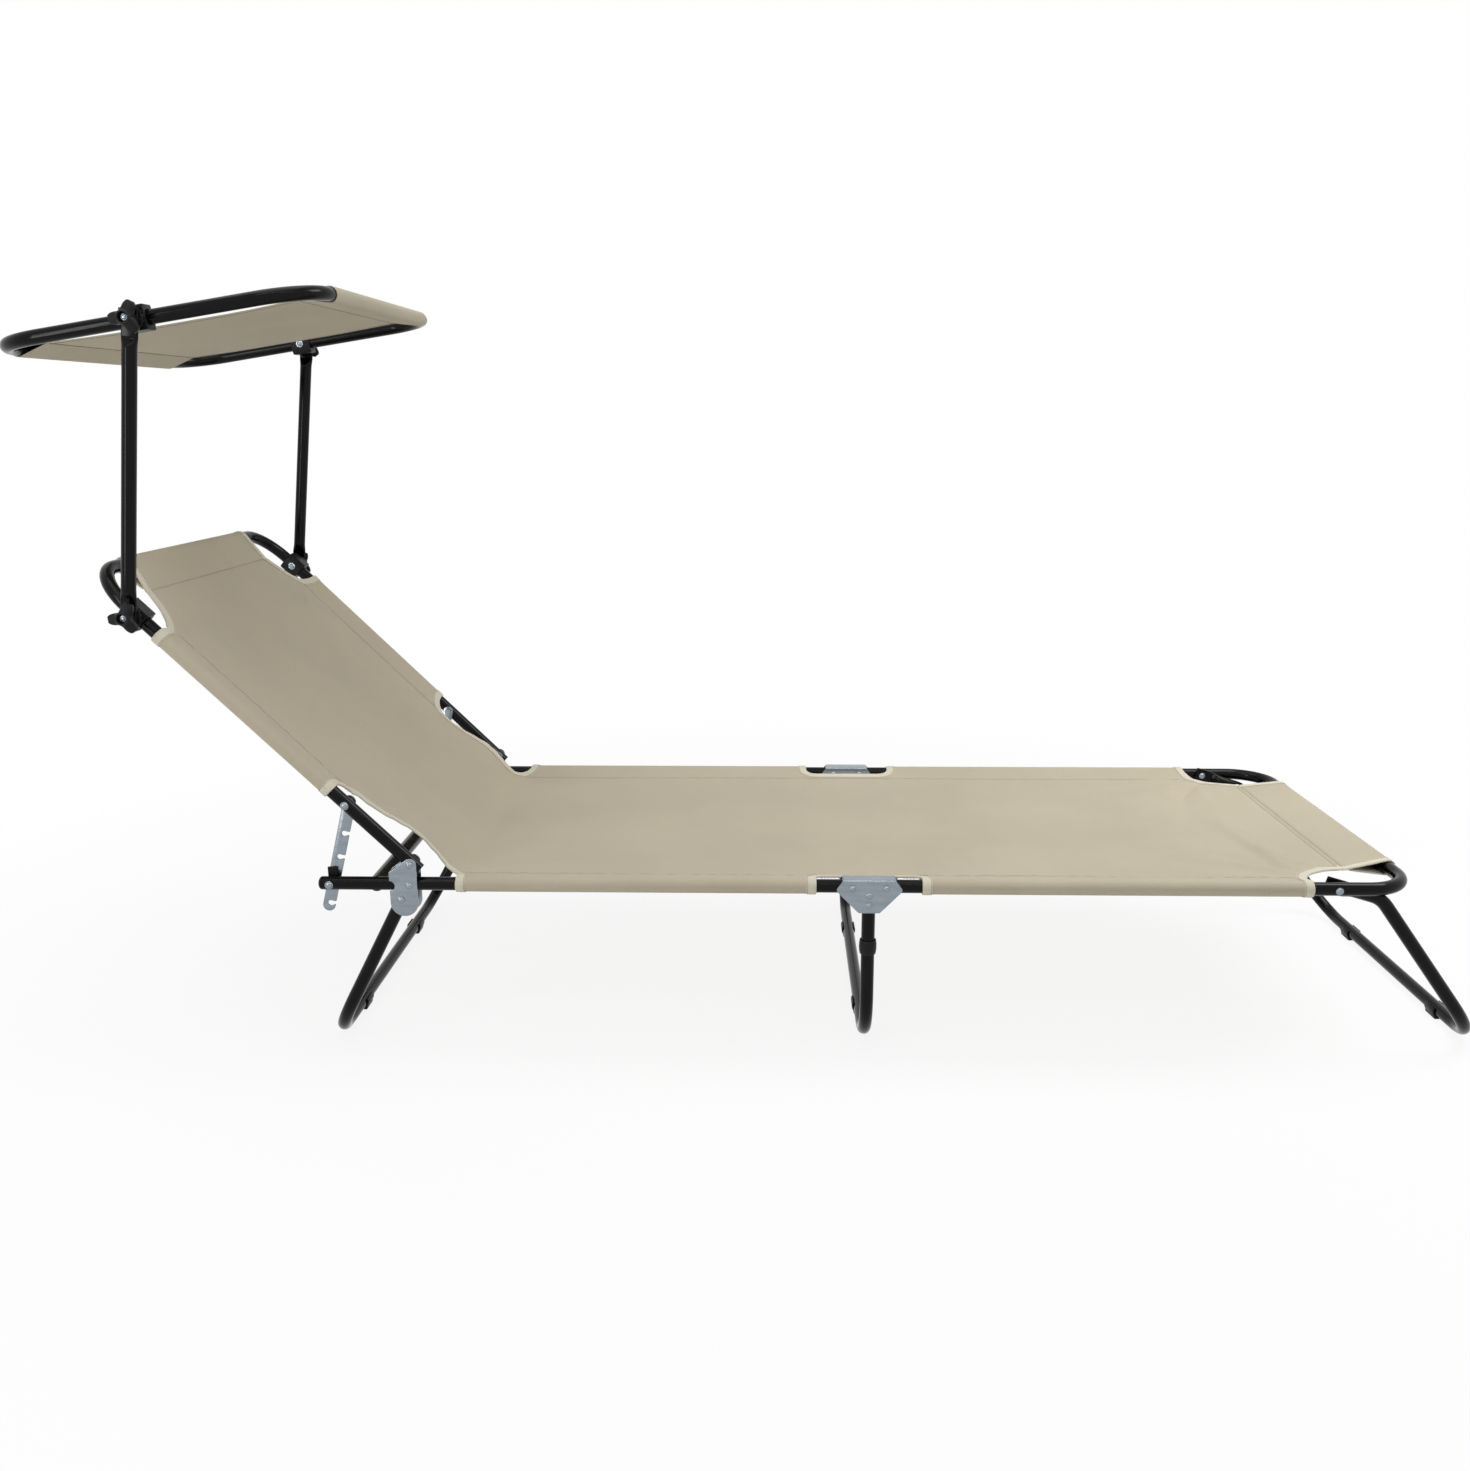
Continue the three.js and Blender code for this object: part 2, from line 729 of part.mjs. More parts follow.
function addRearLeg(lounger) {
  const run = rearFootBack - legPivotBack;
  const rise = legPivotHeight - legLiftOff;
  const length = Math.hypot(run, rise);
  const leg = groupAt(lounger, -legPivotBack, 0, legPivotHeight, Math.atan2(run, rise));
  const tube = drilledBothSides(legU(endRadius, -length, halfWidth), [[0, 0]]);
  const waste = endWaste().rotateY(-Math.PI / 2);
  const trimmed = cut(tube, waste, waste.clone().scale(1, -1, 1));
  part(leg, 'rear_leg', trimmed, powderCoat);
  const feet = groupAt(lounger, -rearFootBack, 0, legLiftOff);
  for (const [word, side] of sides) {
    const foot = part(feet, `rear_foot_${word}`, footClip(), blackPlastic);
    foot.position.y = side * footSpacing / 2;
  }
}

// Front half of the seat: one tube bent into a U

function frontFrame() {
  const rear = middlePivot;
  const tube = tubeAlong([
    new THREE.Vector3(rear - endRadius, -halfWidth, 0), new THREE.Vector3(middleToFoot, -halfWidth, 0),
    new THREE.Vector3(middleToFoot, halfWidth, 0), new THREE.Vector3(rear - endRadius, halfWidth, 0),
  ], [frameBend, frameBend]);
  const bored = drilledBothSides(tube, [[rear, 0], [middleToFoot - frontPivotBeforeFoot, 0]]);
  const waste = endWaste().scale(-1, 1, 1).translate(rear, 0, 0);
  return cut(bored, waste, waste.clone().scale(1, -1, 1));
}

function frontLegPivot() {
  const outer = halfWidth + tubeRadius + runningGap;
  return rivet(middleToFoot - frontPivotBeforeFoot, 0, frontLegInside - runningGap, outer);
}

function addFrontHalf(lounger) {
  const half = groupAt(lounger, pivotToMiddle, 0, seatHeight);
  part(half, 'front_frame', frontFrame(), powderCoat);
  part(half, 'cover_seat_front', frontSeatCover(), beigeCloth);
  for (const [word, side] of sides) {
    part(half, `front_leg_pivot_${word}`, onSide(frontLegPivot(), side), zinc);
  }
}

// Front leg: its pressed-flat ends lie inside the rails, and it runs under them before it turns down

function frontLegEnd(along) {
  const tip = along.clone().multiplyScalar(-legFlatBeyond).setY(frontLegHalf);
  const flat = 2 * legFlatBeyond;
  const stations = [
    [0, legFlatHalfWidth, legFlatHalfDepth],
    [flat, legFlatHalfWidth, legFlatHalfDepth],
    [flat + legTaper / 2, (legFlatHalfWidth + tubeRadius) / 2, (legFlatHalfDepth + tubeRadius) / 2],
    [flat + legTaper, tubeRadius, tubeRadius],
    [flat + legTaper + overrun, tubeRadius, tubeRadius],
  ];
  const { outer, bore } = pressedTube(tip, along, stations, 1);
  const hole = barY(holeRadius, 0, frontLegHalf - clampReach, frontLegHalf + clampReach, 0, holeSides);
  return cut(outer, bore, hole);
}

function frontLeg() {
  const kneeX = frontPivotBeforeFoot - frontKneeBeforeFoot;
  const knee = new THREE.Vector3(kneeX, frontLegHalf, -frontKneeDrop);
  const footX = frontPivotBeforeFoot + frontFootBeyond;
  const foot = new THREE.Vector3(footX, frontLegHalf, legLiftOff - seatHeight);
  const along = new THREE.Vector3(kneeX, 0, -frontKneeDrop).normalize();
  const start = along.clone().multiplyScalar(legFlatBeyond + legTaper).setY(frontLegHalf);
  const mirror = (point) => new THREE.Vector3(point.x, -point.y, point.z);
  const route = [mirror(start), mirror(knee), mirror(foot), foot, knee, start];
  const tube = tubeAlong(route, [frontKneeRadius, legBend, legBend, frontKneeRadius]);
  const far = frontLegEnd(along);
  const near = far.clone().scale(1, -1, 1);
  return joined(tube, far, near);
}

function addFrontLeg(lounger) {
  const leg = groupAt(lounger, footBar - frontPivotBeforeFoot, 0, seatHeight);
  part(leg, 'front_leg', frontLeg(), powderCoat);
  const feet = groupAt(lounger, footBar + frontFootBeyond, 0, legLiftOff);
  for (const [word, side] of sides) {
    const foot = part(feet, `front_foot_${word}`, footClip(), blackPlastic);
    foot.position.y = side * footSpacing / 2;
  }
}

// Backrest: modelled lying flat towards -X from its pivot, then raised

function backFrame() {
  const tube = tubeAlong([
    new THREE.Vector3(backTail, -halfWidth, 0), new THREE.Vector3(-backLength, -halfWidth, 0),
    new THREE.Vector3(-backLength, halfWidth, 0), new THREE.Vector3(backTail, halfWidth, 0),
  ], [frameBend, frameBend]);
  return drilledBothSides(tube, [[0, 0], [-adjusterAlong, 0], [-clampAlong, 0]]);
}

// The shouldered rivet that the steel strip swings on, inside the backrest tube.
function stripRivet() {
  const outer = halfWidth + tubeRadius + runningGap;
  const shoulder = halfWidth - tubeRadius - runningGap;
  const stripOuter = halfWidth - stripInset + sheetThickness / 2 + runningGap;
  const stripInner = stripOuter - sheetThickness - 2 * runningGap;
  const crown = rivetHeadRadius * halfShare;
  const brow = rivetHeadHeight * halfShare;
  return turnedY([
    [0, stripInner - rivetHeadHeight],
    [crown, stripInner - rivetHeadHeight],
    [rivetHeadRadius, stripInner - brow],
    [rivetHeadRadius, stripInner],
    [rivetRadius, stripInner],
    [rivetRadius, stripOuter],
    [rivetHeadRadius, stripOuter],
    [rivetHeadRadius, shoulder],
    [rivetRadius, shoulder],
    [rivetRadius, outer],
    [rivetHeadRadius, outer],
    [rivetHeadRadius, outer + brow], [crown, outer + rivetHeadHeight], [0, outer + rivetHeadHeight],
  ], -adjusterAlong, 0);
}

function addBackrest(lounger) {
  const back = groupAt(lounger, 0, 0, seatHeight + pivotAboveRail, backAngle);
  part(back, 'back_frame', backFrame(), powderCoat);
  part(back, 'cover_back', backCover(), beigeCloth);
  for (const [word, side] of sides) {
    part(back, `strip_rivet_${word}`, onSide(stripRivet(), side), zinc);
    const clamp = onSide(shift(tubeClamp(), -clampAlong, halfWidth, 0), side);
    part(back, `lower_clamp_${word}`, clamp, blackPlastic);
  }
}

// Adjuster: a notched steel strip that hangs from the backrest onto the pin in the rail

function notchedStrip(reach) {
  const half = stripWidth / 2;
  const shape = new THREE.Shape();
  const bottom = -reach - notchesBelowPin * notchPitch - stripTail;
  shape.moveTo(-half, bottom + half);
  shape.absarc(0, bottom + half, half, Math.PI, 2 * Math.PI, false);
  for (let i = notchesBelowPin; i >= -notchesAbovePin; i--) {
    const seat = -reach - i * notchPitch;
    const floor = seat - notchWidth / 2;
    const tip = half - notchDepth + notchWidth / 2;
    shape.lineTo(half, floor + notchLip);
    shape.lineTo(half - notchLip, floor + notchLip);
    shape.lineTo(half - 2 * notchLip, floor);
    shape.absarc(tip, seat, notchWidth / 2, -Math.PI / 2, Math.PI / 2, true);
    shape.lineTo(half, seat + notchWidth / 2 + notchLip * halfShare);
  }
  shape.lineTo(half, 0);
  shape.absarc(0, 0, half, 0, Math.PI, false);
  shape.holes.push(new THREE.Path(circlePoints(holeRadius, holeSides)));
  const middle = halfWidth - stripInset;
  return plateXZ(shape, middle - sheetThickness / 2, middle + sheetThickness / 2);
}

function addAdjusters(lounger) {
  const hingeX = -adjusterAlong * Math.cos(backAngle);
  const hingeZ = pivotAboveRail + adjusterAlong * Math.sin(backAngle);
  const reach = Math.hypot(hingeX + pinBack, hingeZ);
  const lean = Math.atan2(hingeX + pinBack, hingeZ);
  for (const [word, side] of sides) {
    const strip = groupAt(lounger, hingeX, 0, seatHeight + hingeZ, lean);
    part(strip, `notched_strip_${word}`, onSide(notchedStrip(reach), side), zinc);
  }
}

// Canopy clamps, bolts and knobs: modelled about their own bolt, with the tube along X

function toothedDisc(radius, y0, y1) {
  const points = [];
  for (let i = 0; i < 2 * discTeeth; i++) {
    const angle = i * Math.PI / discTeeth;
    const reach = i % 2 ? radius : radius - discToothDepth;
    points.push(new THREE.Vector2(reach * Math.cos(angle), reach * Math.sin(angle)));
  }
  return plateXZ(new THREE.Shape(points), y0, y1);
}

function tubeClamp() {
  const inside = -tubeRadius - clampWall;
  const hook = new THREE.Shape();
  const low = clampHeight / 2;
  const tuck = low * halfShare;
  hook.moveTo(inside, -tuck);
  hook.lineTo(inside + clampWall, -low);
  hook.lineTo(clampReach, -low);
  hook.lineTo(clampReach, low);
  hook.lineTo(inside + clampWall, low);
  hook.lineTo(inside, tuck);
  const body = barX(hook, -clampLength / 2, clampLength / 2);
  const disc = toothedDisc(discRadius, clampReach - sheetThickness, clampOutside);
  const bore = new THREE.CylinderGeometry(endRadius, endRadius, clampLength + 2 * overrun, 2 * roundSides);
  const hole = barY(holeRadius, 0, inside - overrun, clampOutside + overrun, 0, holeSides);
  return cut(joined(body, disc), bore.rotateZ(Math.PI / 2), hole);
}

function clampBolt() {
  const inside = -tubeRadius - clampWall - runningGap;
  const end = knobInside + knobHubLength + knobThickness - knobRecessDepth * halfShare;
  const crown = boltHeadRadius * halfShare;
  return turnedY([
    [0, inside - boltHeadHeight],
    [crown, inside - boltHeadHeight],
    [boltHeadRadius, inside - boltHeadHeight / 2],
    [boltHeadRadius, inside], [boltRadius, inside], [boltRadius, end], [0, end],
  ], 0, 0);
}

// A three-lobed hand knob with a hub towards the arm and a recess for the bolt's end.
function knob() {
  const points = [];
  for (let i = 0; i < knobPoints; i++) {
    const angle = i * 2 * Math.PI / knobPoints;
    const radius = knobMeanRadius + knobLobe * Math.cos(knobLobes * angle);
    points.push(new THREE.Vector2(radius * Math.cos(angle), radius * Math.sin(angle)));
  }
  const star = new THREE.ExtrudeGeometry(new THREE.Shape(points), {
    depth: knobThickness - 2 * knobBevel, bevelThickness: knobBevel, bevelSize: knobBevel,
    bevelOffset: -knobBevel, bevelSegments: 1,
  });
  const starInside = knobInside + knobHubLength;
  const outside = starInside + knobThickness;
  star.rotateX(Math.PI / 2).translate(0, outside - knobBevel, 0);
  const hub = barY(knobHubRadius, 0, knobInside, starInside + overrun, 0, 2 * roundSides);
  const bore = barY(boltRadius + runningGap, 0, knobInside - overrun, outside + overrun, 0, holeSides);
  const recess = barY(knobRecessRadius, 0, outside - knobRecessDepth, outside + overrun, 0, roundSides);
  return cut(joined(star, hub), bore, recess).rotateY(knobTurn);
}

// Canopy arms: straight tubes pressed flat at both ends

function canopyArm() {
  const top = armLength + 2 * armFlatBeyond;
  const flat = armFlatBeyond + knobMeanRadius + knobLobe;
  const between = (armFlatHalfDepth + tubeRadius) / 2;
  const lower = [
    [0, armFlatHalfWidth, armFlatHalfDepth],
    [flat, armFlatHalfWidth, armFlatHalfDepth],
    [flat + armTaper / 2, (armFlatHalfWidth + tubeRadius) / 2, between],
    [flat + armTaper, tubeRadius, tubeRadius],
  ];
  const upper = lower.map(([distance, wide, deep]) => [top - distance, wide, deep]).reverse();
  const start = new THREE.Vector3(0, halfWidth + armPlane, -armFlatBeyond);
  const { outer, bore } = pressedTube(start, new THREE.Vector3(0, 0, 1), [...lower, ...upper], 0);
  const from = halfWidth + armPlane - drillReach;
  const to = halfWidth + armPlane + drillReach;
  const holes = [0, armLength].map((z) => barY(holeRadius, 0, from, to, z, holeSides));
  return cut(outer, bore, ...holes);
}

function lowerBoltPlace() {
  return new THREE.Vector3(-clampAlong * Math.cos(backAngle), 0,
    seatHeight + pivotAboveRail + clampAlong * Math.sin(backAngle));
}

function upperBoltPlace() {
  const lower = lowerBoltPlace();
  const arm = new THREE.Vector3(armLength * Math.sin(armLean), 0, armLength * Math.cos(armLean));
  return lower.add(arm);
}

function addArms(lounger) {
  const lower = lowerBoltPlace();
  const arms = groupAt(lounger, lower.x, 0, lower.z, armLean);
  const ends = [['lower', 0], ['upper', armLength]];
  for (const [word, side] of sides) {
    part(arms, `canopy_arm_${word}`, onSide(canopyArm(), side), powderCoat);
    for (const [end, height] of ends) {
      const atEnd = (piece) => onSide(shift(piece, 0, halfWidth, height), side);
      part(arms, `${end}_bolt_${word}`, atEnd(clampBolt()), zinc);
      part(arms, `${end}_knob_${word}`, atEnd(knob()), blackPlastic);
    }
  }
}

// Canopy: a bent frame whose ends meet inside the rear cloth loop

function canopyFrame() {
  const joint = canopyJointGap / 2;
  const tube = tubeAlong([
    new THREE.Vector3(-canopyBehind, joint, 0), new THREE.Vector3(-canopyBehind, halfWidth, 0),
    new THREE.Vector3(canopyAhead, halfWidth, 0), new THREE.Vector3(canopyAhead, -halfWidth, 0),
    new THREE.Vector3(-canopyBehind, -halfWidth, 0), new THREE.Vector3(-canopyBehind, -joint, 0),
  ], [canopyBend, canopyBend, canopyBend, canopyBend]);
  return drilledBothSides(tube, [[0, 0]]);
}

function addCanopy(lounger) {
  const upper = upperBoltPlace();
  const canopy = groupAt(lounger, upper.x, 0, upper.z, canopyTilt);
  part(canopy, 'canopy_frame', canopyFrame(), powderCoat);
  part(canopy, 'canopy_cover', canopyCover(), beigeCloth);
  for (const [word, side] of sides) {
    part(canopy, `upper_clamp_${word}`, onSide(shift(tubeClamp(), 0, halfWidth, 0), side), blackPlastic);
  }
}

// Cloth

// A loop of cloth round a bar at the origin; its two sides meet at a seam that lies reach away towards -X.
function loopShape(reach) {
  const distance = Math.hypot(reach, clothAboveRail);
  const spread = Math.acos(loopRadius / distance);
  const start = Math.atan2(clothAboveRail, -reach) - spread;
  const sweep = 2 * Math.PI - 2 * spread;
  const points = [new THREE.Vector2(-reach, clothAboveRail)];
  for (let i = 0; i <= loopSteps; i++) {
    const angle = start - sweep * i / loopSteps;
    points.push(new THREE.Vector2(loopRadius * Math.cos(angle), loopRadius * Math.sin(angle)));
  }
  const shape = new THREE.Shape(points);
  const bore = points.map((point) => point.clone().multiplyScalar(loopBore / loopRadius)).reverse();
  shape.holes.push(new THREE.Path(bore));
  return shape;
}

function sideLoops(x0, x1) {
  const far = barX(loopShape(sideSeamInset), x0, x1).translate(0, halfWidth, 0);
  return [far, far.clone().scale(1, -1, 1)];
}

function endLoop(x, reach, half, direction) {
  return plateXZ(loopShape(reach), -half, half).scale(direction, 1, 1).translate(x, 0, 0);
}

// A sheet of cloth from one place along X to another, lowered by dipAt.
function clothSheet(x0, x1, half, dipAt) {
  const rings = [];
  for (let r = 0; r <= clothRows; r++) {
    const x = x0 + (x1 - x0) * r / clothRows;
    const top = [];
    const under = [];
    for (let i = 0; i <= clothSteps; i++) {
      const y = half * (2 * i / clothSteps - 1);
      const z = clothAboveRail - dipAt(x, y);
      top.push(new THREE.Vector3(x, y, z + clothThickness / 2));
      under.unshift(new THREE.Vector3(x, y, z - clothThickness / 2));
    }
    rings.push([...top, ...under]);
  }
  return skin(rings);
}

// The sling dips most along its middle, and levels out towards the seam at one end.
function slingDip(y, beforeSeam) {
  const share = Math.max(0, 1 - (y / sideSeam) ** 2);
  return clothDip * share * THREE.MathUtils.clamp(beforeSeam / dipFade, 0, 1);
}

// A quarter circle from the side of a cut to its inner edge, as distances from the cut's corner.
function cornerArc(radius) {
  const points = [];
  for (let i = 0; i <= cornerSteps; i++) {
    const angle = i * Math.PI / (2 * cornerSteps);
    points.push(new THREE.Vector2(radius * (1 - Math.cos(angle)), radius * (1 - Math.sin(angle))));
  }
  return points;
}

// A cut into the far edge of the cloth between two places, with two round inner corners.
function edgeCut(x0, x1, inner, radius) {
  const outer = halfWidth + 2 * loopRadius;
  const first = cornerArc(radius).map((point) => new THREE.Vector2(x0 + point.x, inner + point.y));
  const last = cornerArc(radius).map((point) => new THREE.Vector2(x1 - point.x, inner + point.y));
  return [new THREE.Vector2(x0, outer), ...first, ...last.reverse(), new THREE.Vector2(x1, outer)];
}

function cutBothEdges(cloth, outline) {
  const deep = 2 * loopRadius + clothDip;
  const far = prismXY(outline, -deep, deep);
  return cut(cloth, far, far.clone().scale(1, -1, 1));
}

// The corner beside an end bar: the cloth narrows from the side seam to the pocket on the bar.
function cornerOutline(start, seam, bar, direction) {
  const outer = halfWidth + 2 * loopRadius;
  return [[start, outer], [start, sideSeam + seamLap], [seam, endSeamHalf], [bar, endPocketHalf],
    [bar + direction * 2 * loopRadius, endPocketHalf], [bar + direction * 2 * loopRadius, outer],
  ].map(([x, y]) => new THREE.Vector2(x, y));
}

function rearSeatCover() {
  const end = pivotToMiddle - middleGap;
  const sheet = clothSheet(seatClothStart, end, sideSeam + seamLap, (x, y) => slingDip(y, dipFade));
  const cloth = joined(sheet, ...sideLoops(seatLoopStart, end));
  const cutStart = pivotToMiddle - middleCutLength;
  const cutEnd = pivotToMiddle + middleCutLength;
  return cutBothEdges(cloth, edgeCut(cutStart, cutEnd, middleCutHalf, middleCutCorner));
}

function frontSeatCover() {
  const seam = middleToFoot - footSeamInset;
  const loopEnd = middleToFoot - footLoopEnd;
  const sheet = clothSheet(middleGap, seam + seamLap, sideSeam + seamLap, (x, y) => slingDip(y, seam - x));
  const pocket = endLoop(middleToFoot, footSeamInset, endSeamHalf, 1);
  const cloth = joined(sheet, pocket, ...sideLoops(middleGap, loopEnd));
  const middleCut = edgeCut(-middleCutLength, middleCutLength, middleCutHalf, middleCutCorner);
  const open = cutBothEdges(cloth, middleCut);
  return cutBothEdges(open, cornerOutline(loopEnd + endCutStart, seam, middleToFoot, 1));
}

// The backrest's cloth runs on past the hinge as a flap that rises off the backrest's plane.
function backCover() {
  const seam = -backLength + headSeamInset;
  const half = sideSeam + seamLap;
  const sheet = clothSheet(seam - seamLap, -hingeTangent, half, (x, y) => slingDip(y, x - seam));
  const rise = hingeFlapRise / (hingeFlapEnd + hingeTangent);
  const lowered = (x, y) => slingDip(y, dipFade) - rise * (x + hingeTangent);
  const flap = clothSheet(-hingeTangent, hingeFlapEnd, half, lowered);
  const pocket = endLoop(-backLength, headSeamInset, endSeamHalf, -1);
  const cloth = joined(sheet, flap, pocket, ...sideLoops(-backLoopEnd, -backLoopStart));
  const hingeCut = edgeCut(-backLoopStart, hingeFlapEnd + 2 * hingeCutCorner, hingeCutHalf, hingeCutCorner);
  const open = cutBothEdges(cloth, hingeCut);
  return cutBothEdges(open, cornerOutline(-backLoopEnd - endCutStart, seam, -backLength, -1));
}

function canopyCover() {
  const from = -canopyBehind + canopySeamInset;
  const to = canopyAhead - canopySeamInset;
  const dip = (x) => canopyDip * Math.max(0, Math.sin(Math.PI * (x - from) / (to - from)));
  const sheet = clothSheet(from - seamLap, to + seamLap, canopyPocketHalf, dip);
  const rear = endLoop(-canopyBehind, canopySeamInset, canopyPocketHalf, -1);
  const front = endLoop(canopyAhead, canopySeamInset, canopyPocketHalf, 1);
  return joined(sheet, rear, front);
}

// Assembly, with the origin under the middle of the whole

function sunLounger() {
  const lounger = new THREE.Group();
  addMiddleStand(lounger);
  addRearHalf(lounger);
  addRearLeg(lounger);
  addFrontHalf(lounger);
  addFrontLeg(lounger);
  addBackrest(lounger);
  addAdjusters(lounger);
  addArms(lounger);
  addCanopy(lounger);
  lounger.updateMatrixWorld(true);
  const bounds = new THREE.Box3().setFromObject(lounger, true);
  const centre = bounds.getCenter(new THREE.Vector3());
  lounger.position.set(-centre.x, -centre.y, -bounds.min.z);
  return lounger;
}

export default sunLounger();
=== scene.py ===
# %% [markdown]
# # Folding sun lounger with canopy
# The real object is a camp-bed-like lounger: black steel tubes on three folding legs, one long beige cloth
# stretched between them, a backrest that tilts, and a small canopy on two arms. The imported model gives its
# bodies and joints, so it is loaded first, and each finished piece below takes the place of a plain one.
# Everything is in metres in the model's own frame: +X runs from the head end to the foot end, +Z is up, and
# the near side is at -Y. That way no piece needs a place of its own, and each piece that is attached to a
# body moves with it.

# %%
# Load the frame
import bpy
import bmesh
import json
import math
import numpy as np
from mathutils import Matrix, Vector


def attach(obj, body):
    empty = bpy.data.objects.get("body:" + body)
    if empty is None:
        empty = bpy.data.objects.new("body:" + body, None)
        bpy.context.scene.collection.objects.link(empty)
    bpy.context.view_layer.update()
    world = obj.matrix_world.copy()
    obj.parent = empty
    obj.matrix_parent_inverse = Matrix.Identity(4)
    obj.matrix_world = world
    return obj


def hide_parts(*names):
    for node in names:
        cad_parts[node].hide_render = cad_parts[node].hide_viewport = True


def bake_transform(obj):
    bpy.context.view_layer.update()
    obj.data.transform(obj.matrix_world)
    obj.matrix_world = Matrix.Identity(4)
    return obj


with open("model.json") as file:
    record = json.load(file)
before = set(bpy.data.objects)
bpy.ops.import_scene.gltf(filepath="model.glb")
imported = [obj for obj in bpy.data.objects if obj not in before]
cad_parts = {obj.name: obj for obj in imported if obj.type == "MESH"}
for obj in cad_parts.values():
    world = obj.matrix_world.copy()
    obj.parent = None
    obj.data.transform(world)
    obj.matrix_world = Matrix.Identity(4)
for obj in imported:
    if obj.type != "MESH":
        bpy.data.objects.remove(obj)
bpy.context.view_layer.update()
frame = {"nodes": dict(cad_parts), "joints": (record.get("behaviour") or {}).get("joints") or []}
joint_at = {j["name"]: Vector(j["pos_m"]) for j in frame["joints"]}

# %% [markdown]
# ## Shared sizes
# On the real lounger every bracket, rivet and leg is set out from the two rails and from the backrest's
# hinge. Their sizes could be typed again wherever they are needed, but then one change would have to be
# made in many places. So the few that many pieces share are named here, in mm, and one function carries a
# place in mm, counted from the floor below the hinge, over to metres in the model's frame.

# %%
# Shared sizes in mm
MM = 0.001
SIDES = (("near", -1), ("far", 1))
HINGE = joint_at["backrest_tilt"]
RAIL = 281      # middle of a rail, out from the middle of the lounger
SEAT = 245      # middle of the rails above the floor
PIVOT = 29      # the backrest's hinge above the rails
GROUND = 12     # middle of the bars that lie along the floor
TUBE = 9        # outer radius of the tubes
MID = 609       # the middle stand, from the hinge towards the foot
FOOT = 1325     # the bar at the foot end
PAIRED = 22.4   # the stand's two rivets on each side, before and behind its middle


def place(x, y, z):
    """A point given in mm from the floor below the backrest's hinge, in the model's frame."""
    return Vector((HINGE.x + x * MM, y * MM, z * MM))


print("hinge at", HINGE[:], "foot bar at", place(FOOT, 0, SEAT)[:])

# %% [markdown]
# ## Camera
# The picture was taken from the near side, a little above the seat and near its middle, with a short lens.
# A camera can be aimed by eye, or worked out from places that are known in both the picture and the model.
# Here it was fitted to straight tubes, rivets and clips, and is written as a place and three angles,
# because a wrong camera would make every piece look wrong and hide what really is.

# %%
# Camera
YAW, PITCH, ROLL = -0.0297, 0.2428, -0.0043     # radians
FOCAL, PICTURE = 1290.16, 1470                  # the lens and the picture's width, in pixels
SENSOR = 36                                     # mm
CAMERA_SPOT = place(480.2, -1896.9, 850.5)
ahead = Vector((math.sin(YAW) * math.cos(PITCH), math.cos(YAW) * math.cos(PITCH), -math.sin(PITCH)))
level = Vector((math.cos(YAW), -math.sin(YAW), 0))
upward = level.cross(ahead)
right = math.cos(ROLL) * level + math.sin(ROLL) * upward
top = -math.sin(ROLL) * level + math.cos(ROLL) * upward
camera_data = bpy.data.cameras.new("camera")
camera_data.sensor_fit = "HORIZONTAL"
camera_data.sensor_width = SENSOR
camera_data.lens = SENSOR * FOCAL / PICTURE
camera = bpy.data.objects.new("camera", camera_data)
bpy.context.collection.objects.link(camera)
turn = Matrix((right, top, -ahead)).transposed().to_4x4()
camera.matrix_world = Matrix.Translation(CAMERA_SPOT) @ turn
bpy.context.scene.camera = camera
print("camera at", camera.location[:], "lens", round(camera_data.lens, 2))

# %% [markdown]
# ## Node helpers
# A finish is a small network of nodes. It can be drawn by hand in the Shader Editor, but a script makes the
# same network each time and lets one recipe serve several finishes. One helper adds any node and fills its
# inputs, each with a plain value or with a link from another node. The rest are short names for the nodes
# that every finish here needs: noise for patches and grain, a ramp, a mix of two colours, a sum, and bump.

# %%
# Node helpers
def add(tree, kind, inputs=(), **settings):
    """A new node; each of its inputs is given a value, or a link where it is given a socket."""
    node = tree.nodes.new(kind)
    for key, value in settings.items():
        setattr(node, key, value)
    for key, value in dict(inputs).items():
        if isinstance(value, bpy.types.NodeSocket):
            tree.links.new(value, node.inputs[key])
        else:
            node.inputs[key].default_value = value
    return node


def new_material(name):
    material = bpy.data.materials.new(name)
    material.use_nodes = True
    tree = material.node_tree
    tree.nodes.clear()
    shader = add(tree, "ShaderNodeBsdfPrincipled")
    add(tree, "ShaderNodeOutputMaterial", {"Surface": shader.outputs["BSDF"]})
    return material, tree, shader


def noise(tree, where, scale, detail=3.0):
    """Soft random patches, scale of them to a metre."""
    inputs = {"Vector": where, "Scale": scale, "Detail": detail, "Roughness": 0.55}
    return add(tree, "ShaderNodeTexNoise", inputs).outputs["Fac"]


def ramp(tree, value, low, high, start=0.3, end=0.7):
    """Carry the range from start to end over to low to high."""
    inputs = {"Value": value, "From Min": start, "From Max": end, "To Min": low, "To Max": high}
    return add(tree, "ShaderNodeMapRange", inputs).outputs["Result"]


def two_tone(tree, share, first, second):
    inputs = {0: share, 6: (*first, 1), 7: (*second, 1)}
    return add(tree, "ShaderNodeMix", inputs, data_type="RGBA").outputs[2]


def maths(tree, kind, first, second=0.5):
    return add(tree, "ShaderNodeMath", {0: first, 1: second}, operation=kind).outputs[0]


def bump(tree, shader, height, depth, strength=1.0):
    """Let a height, in shares of a depth in metres, catch the light as real relief would."""
    raised = add(tree, "ShaderNodeBump", {"Height": height, "Distance": depth, "Strength": strength})
    tree.links.new(raised.outputs["Normal"], shader.inputs["Normal"])


print("node helpers:", [f.__name__ for f in (add, new_material, noise, ramp, two_tone, maths, bump)])

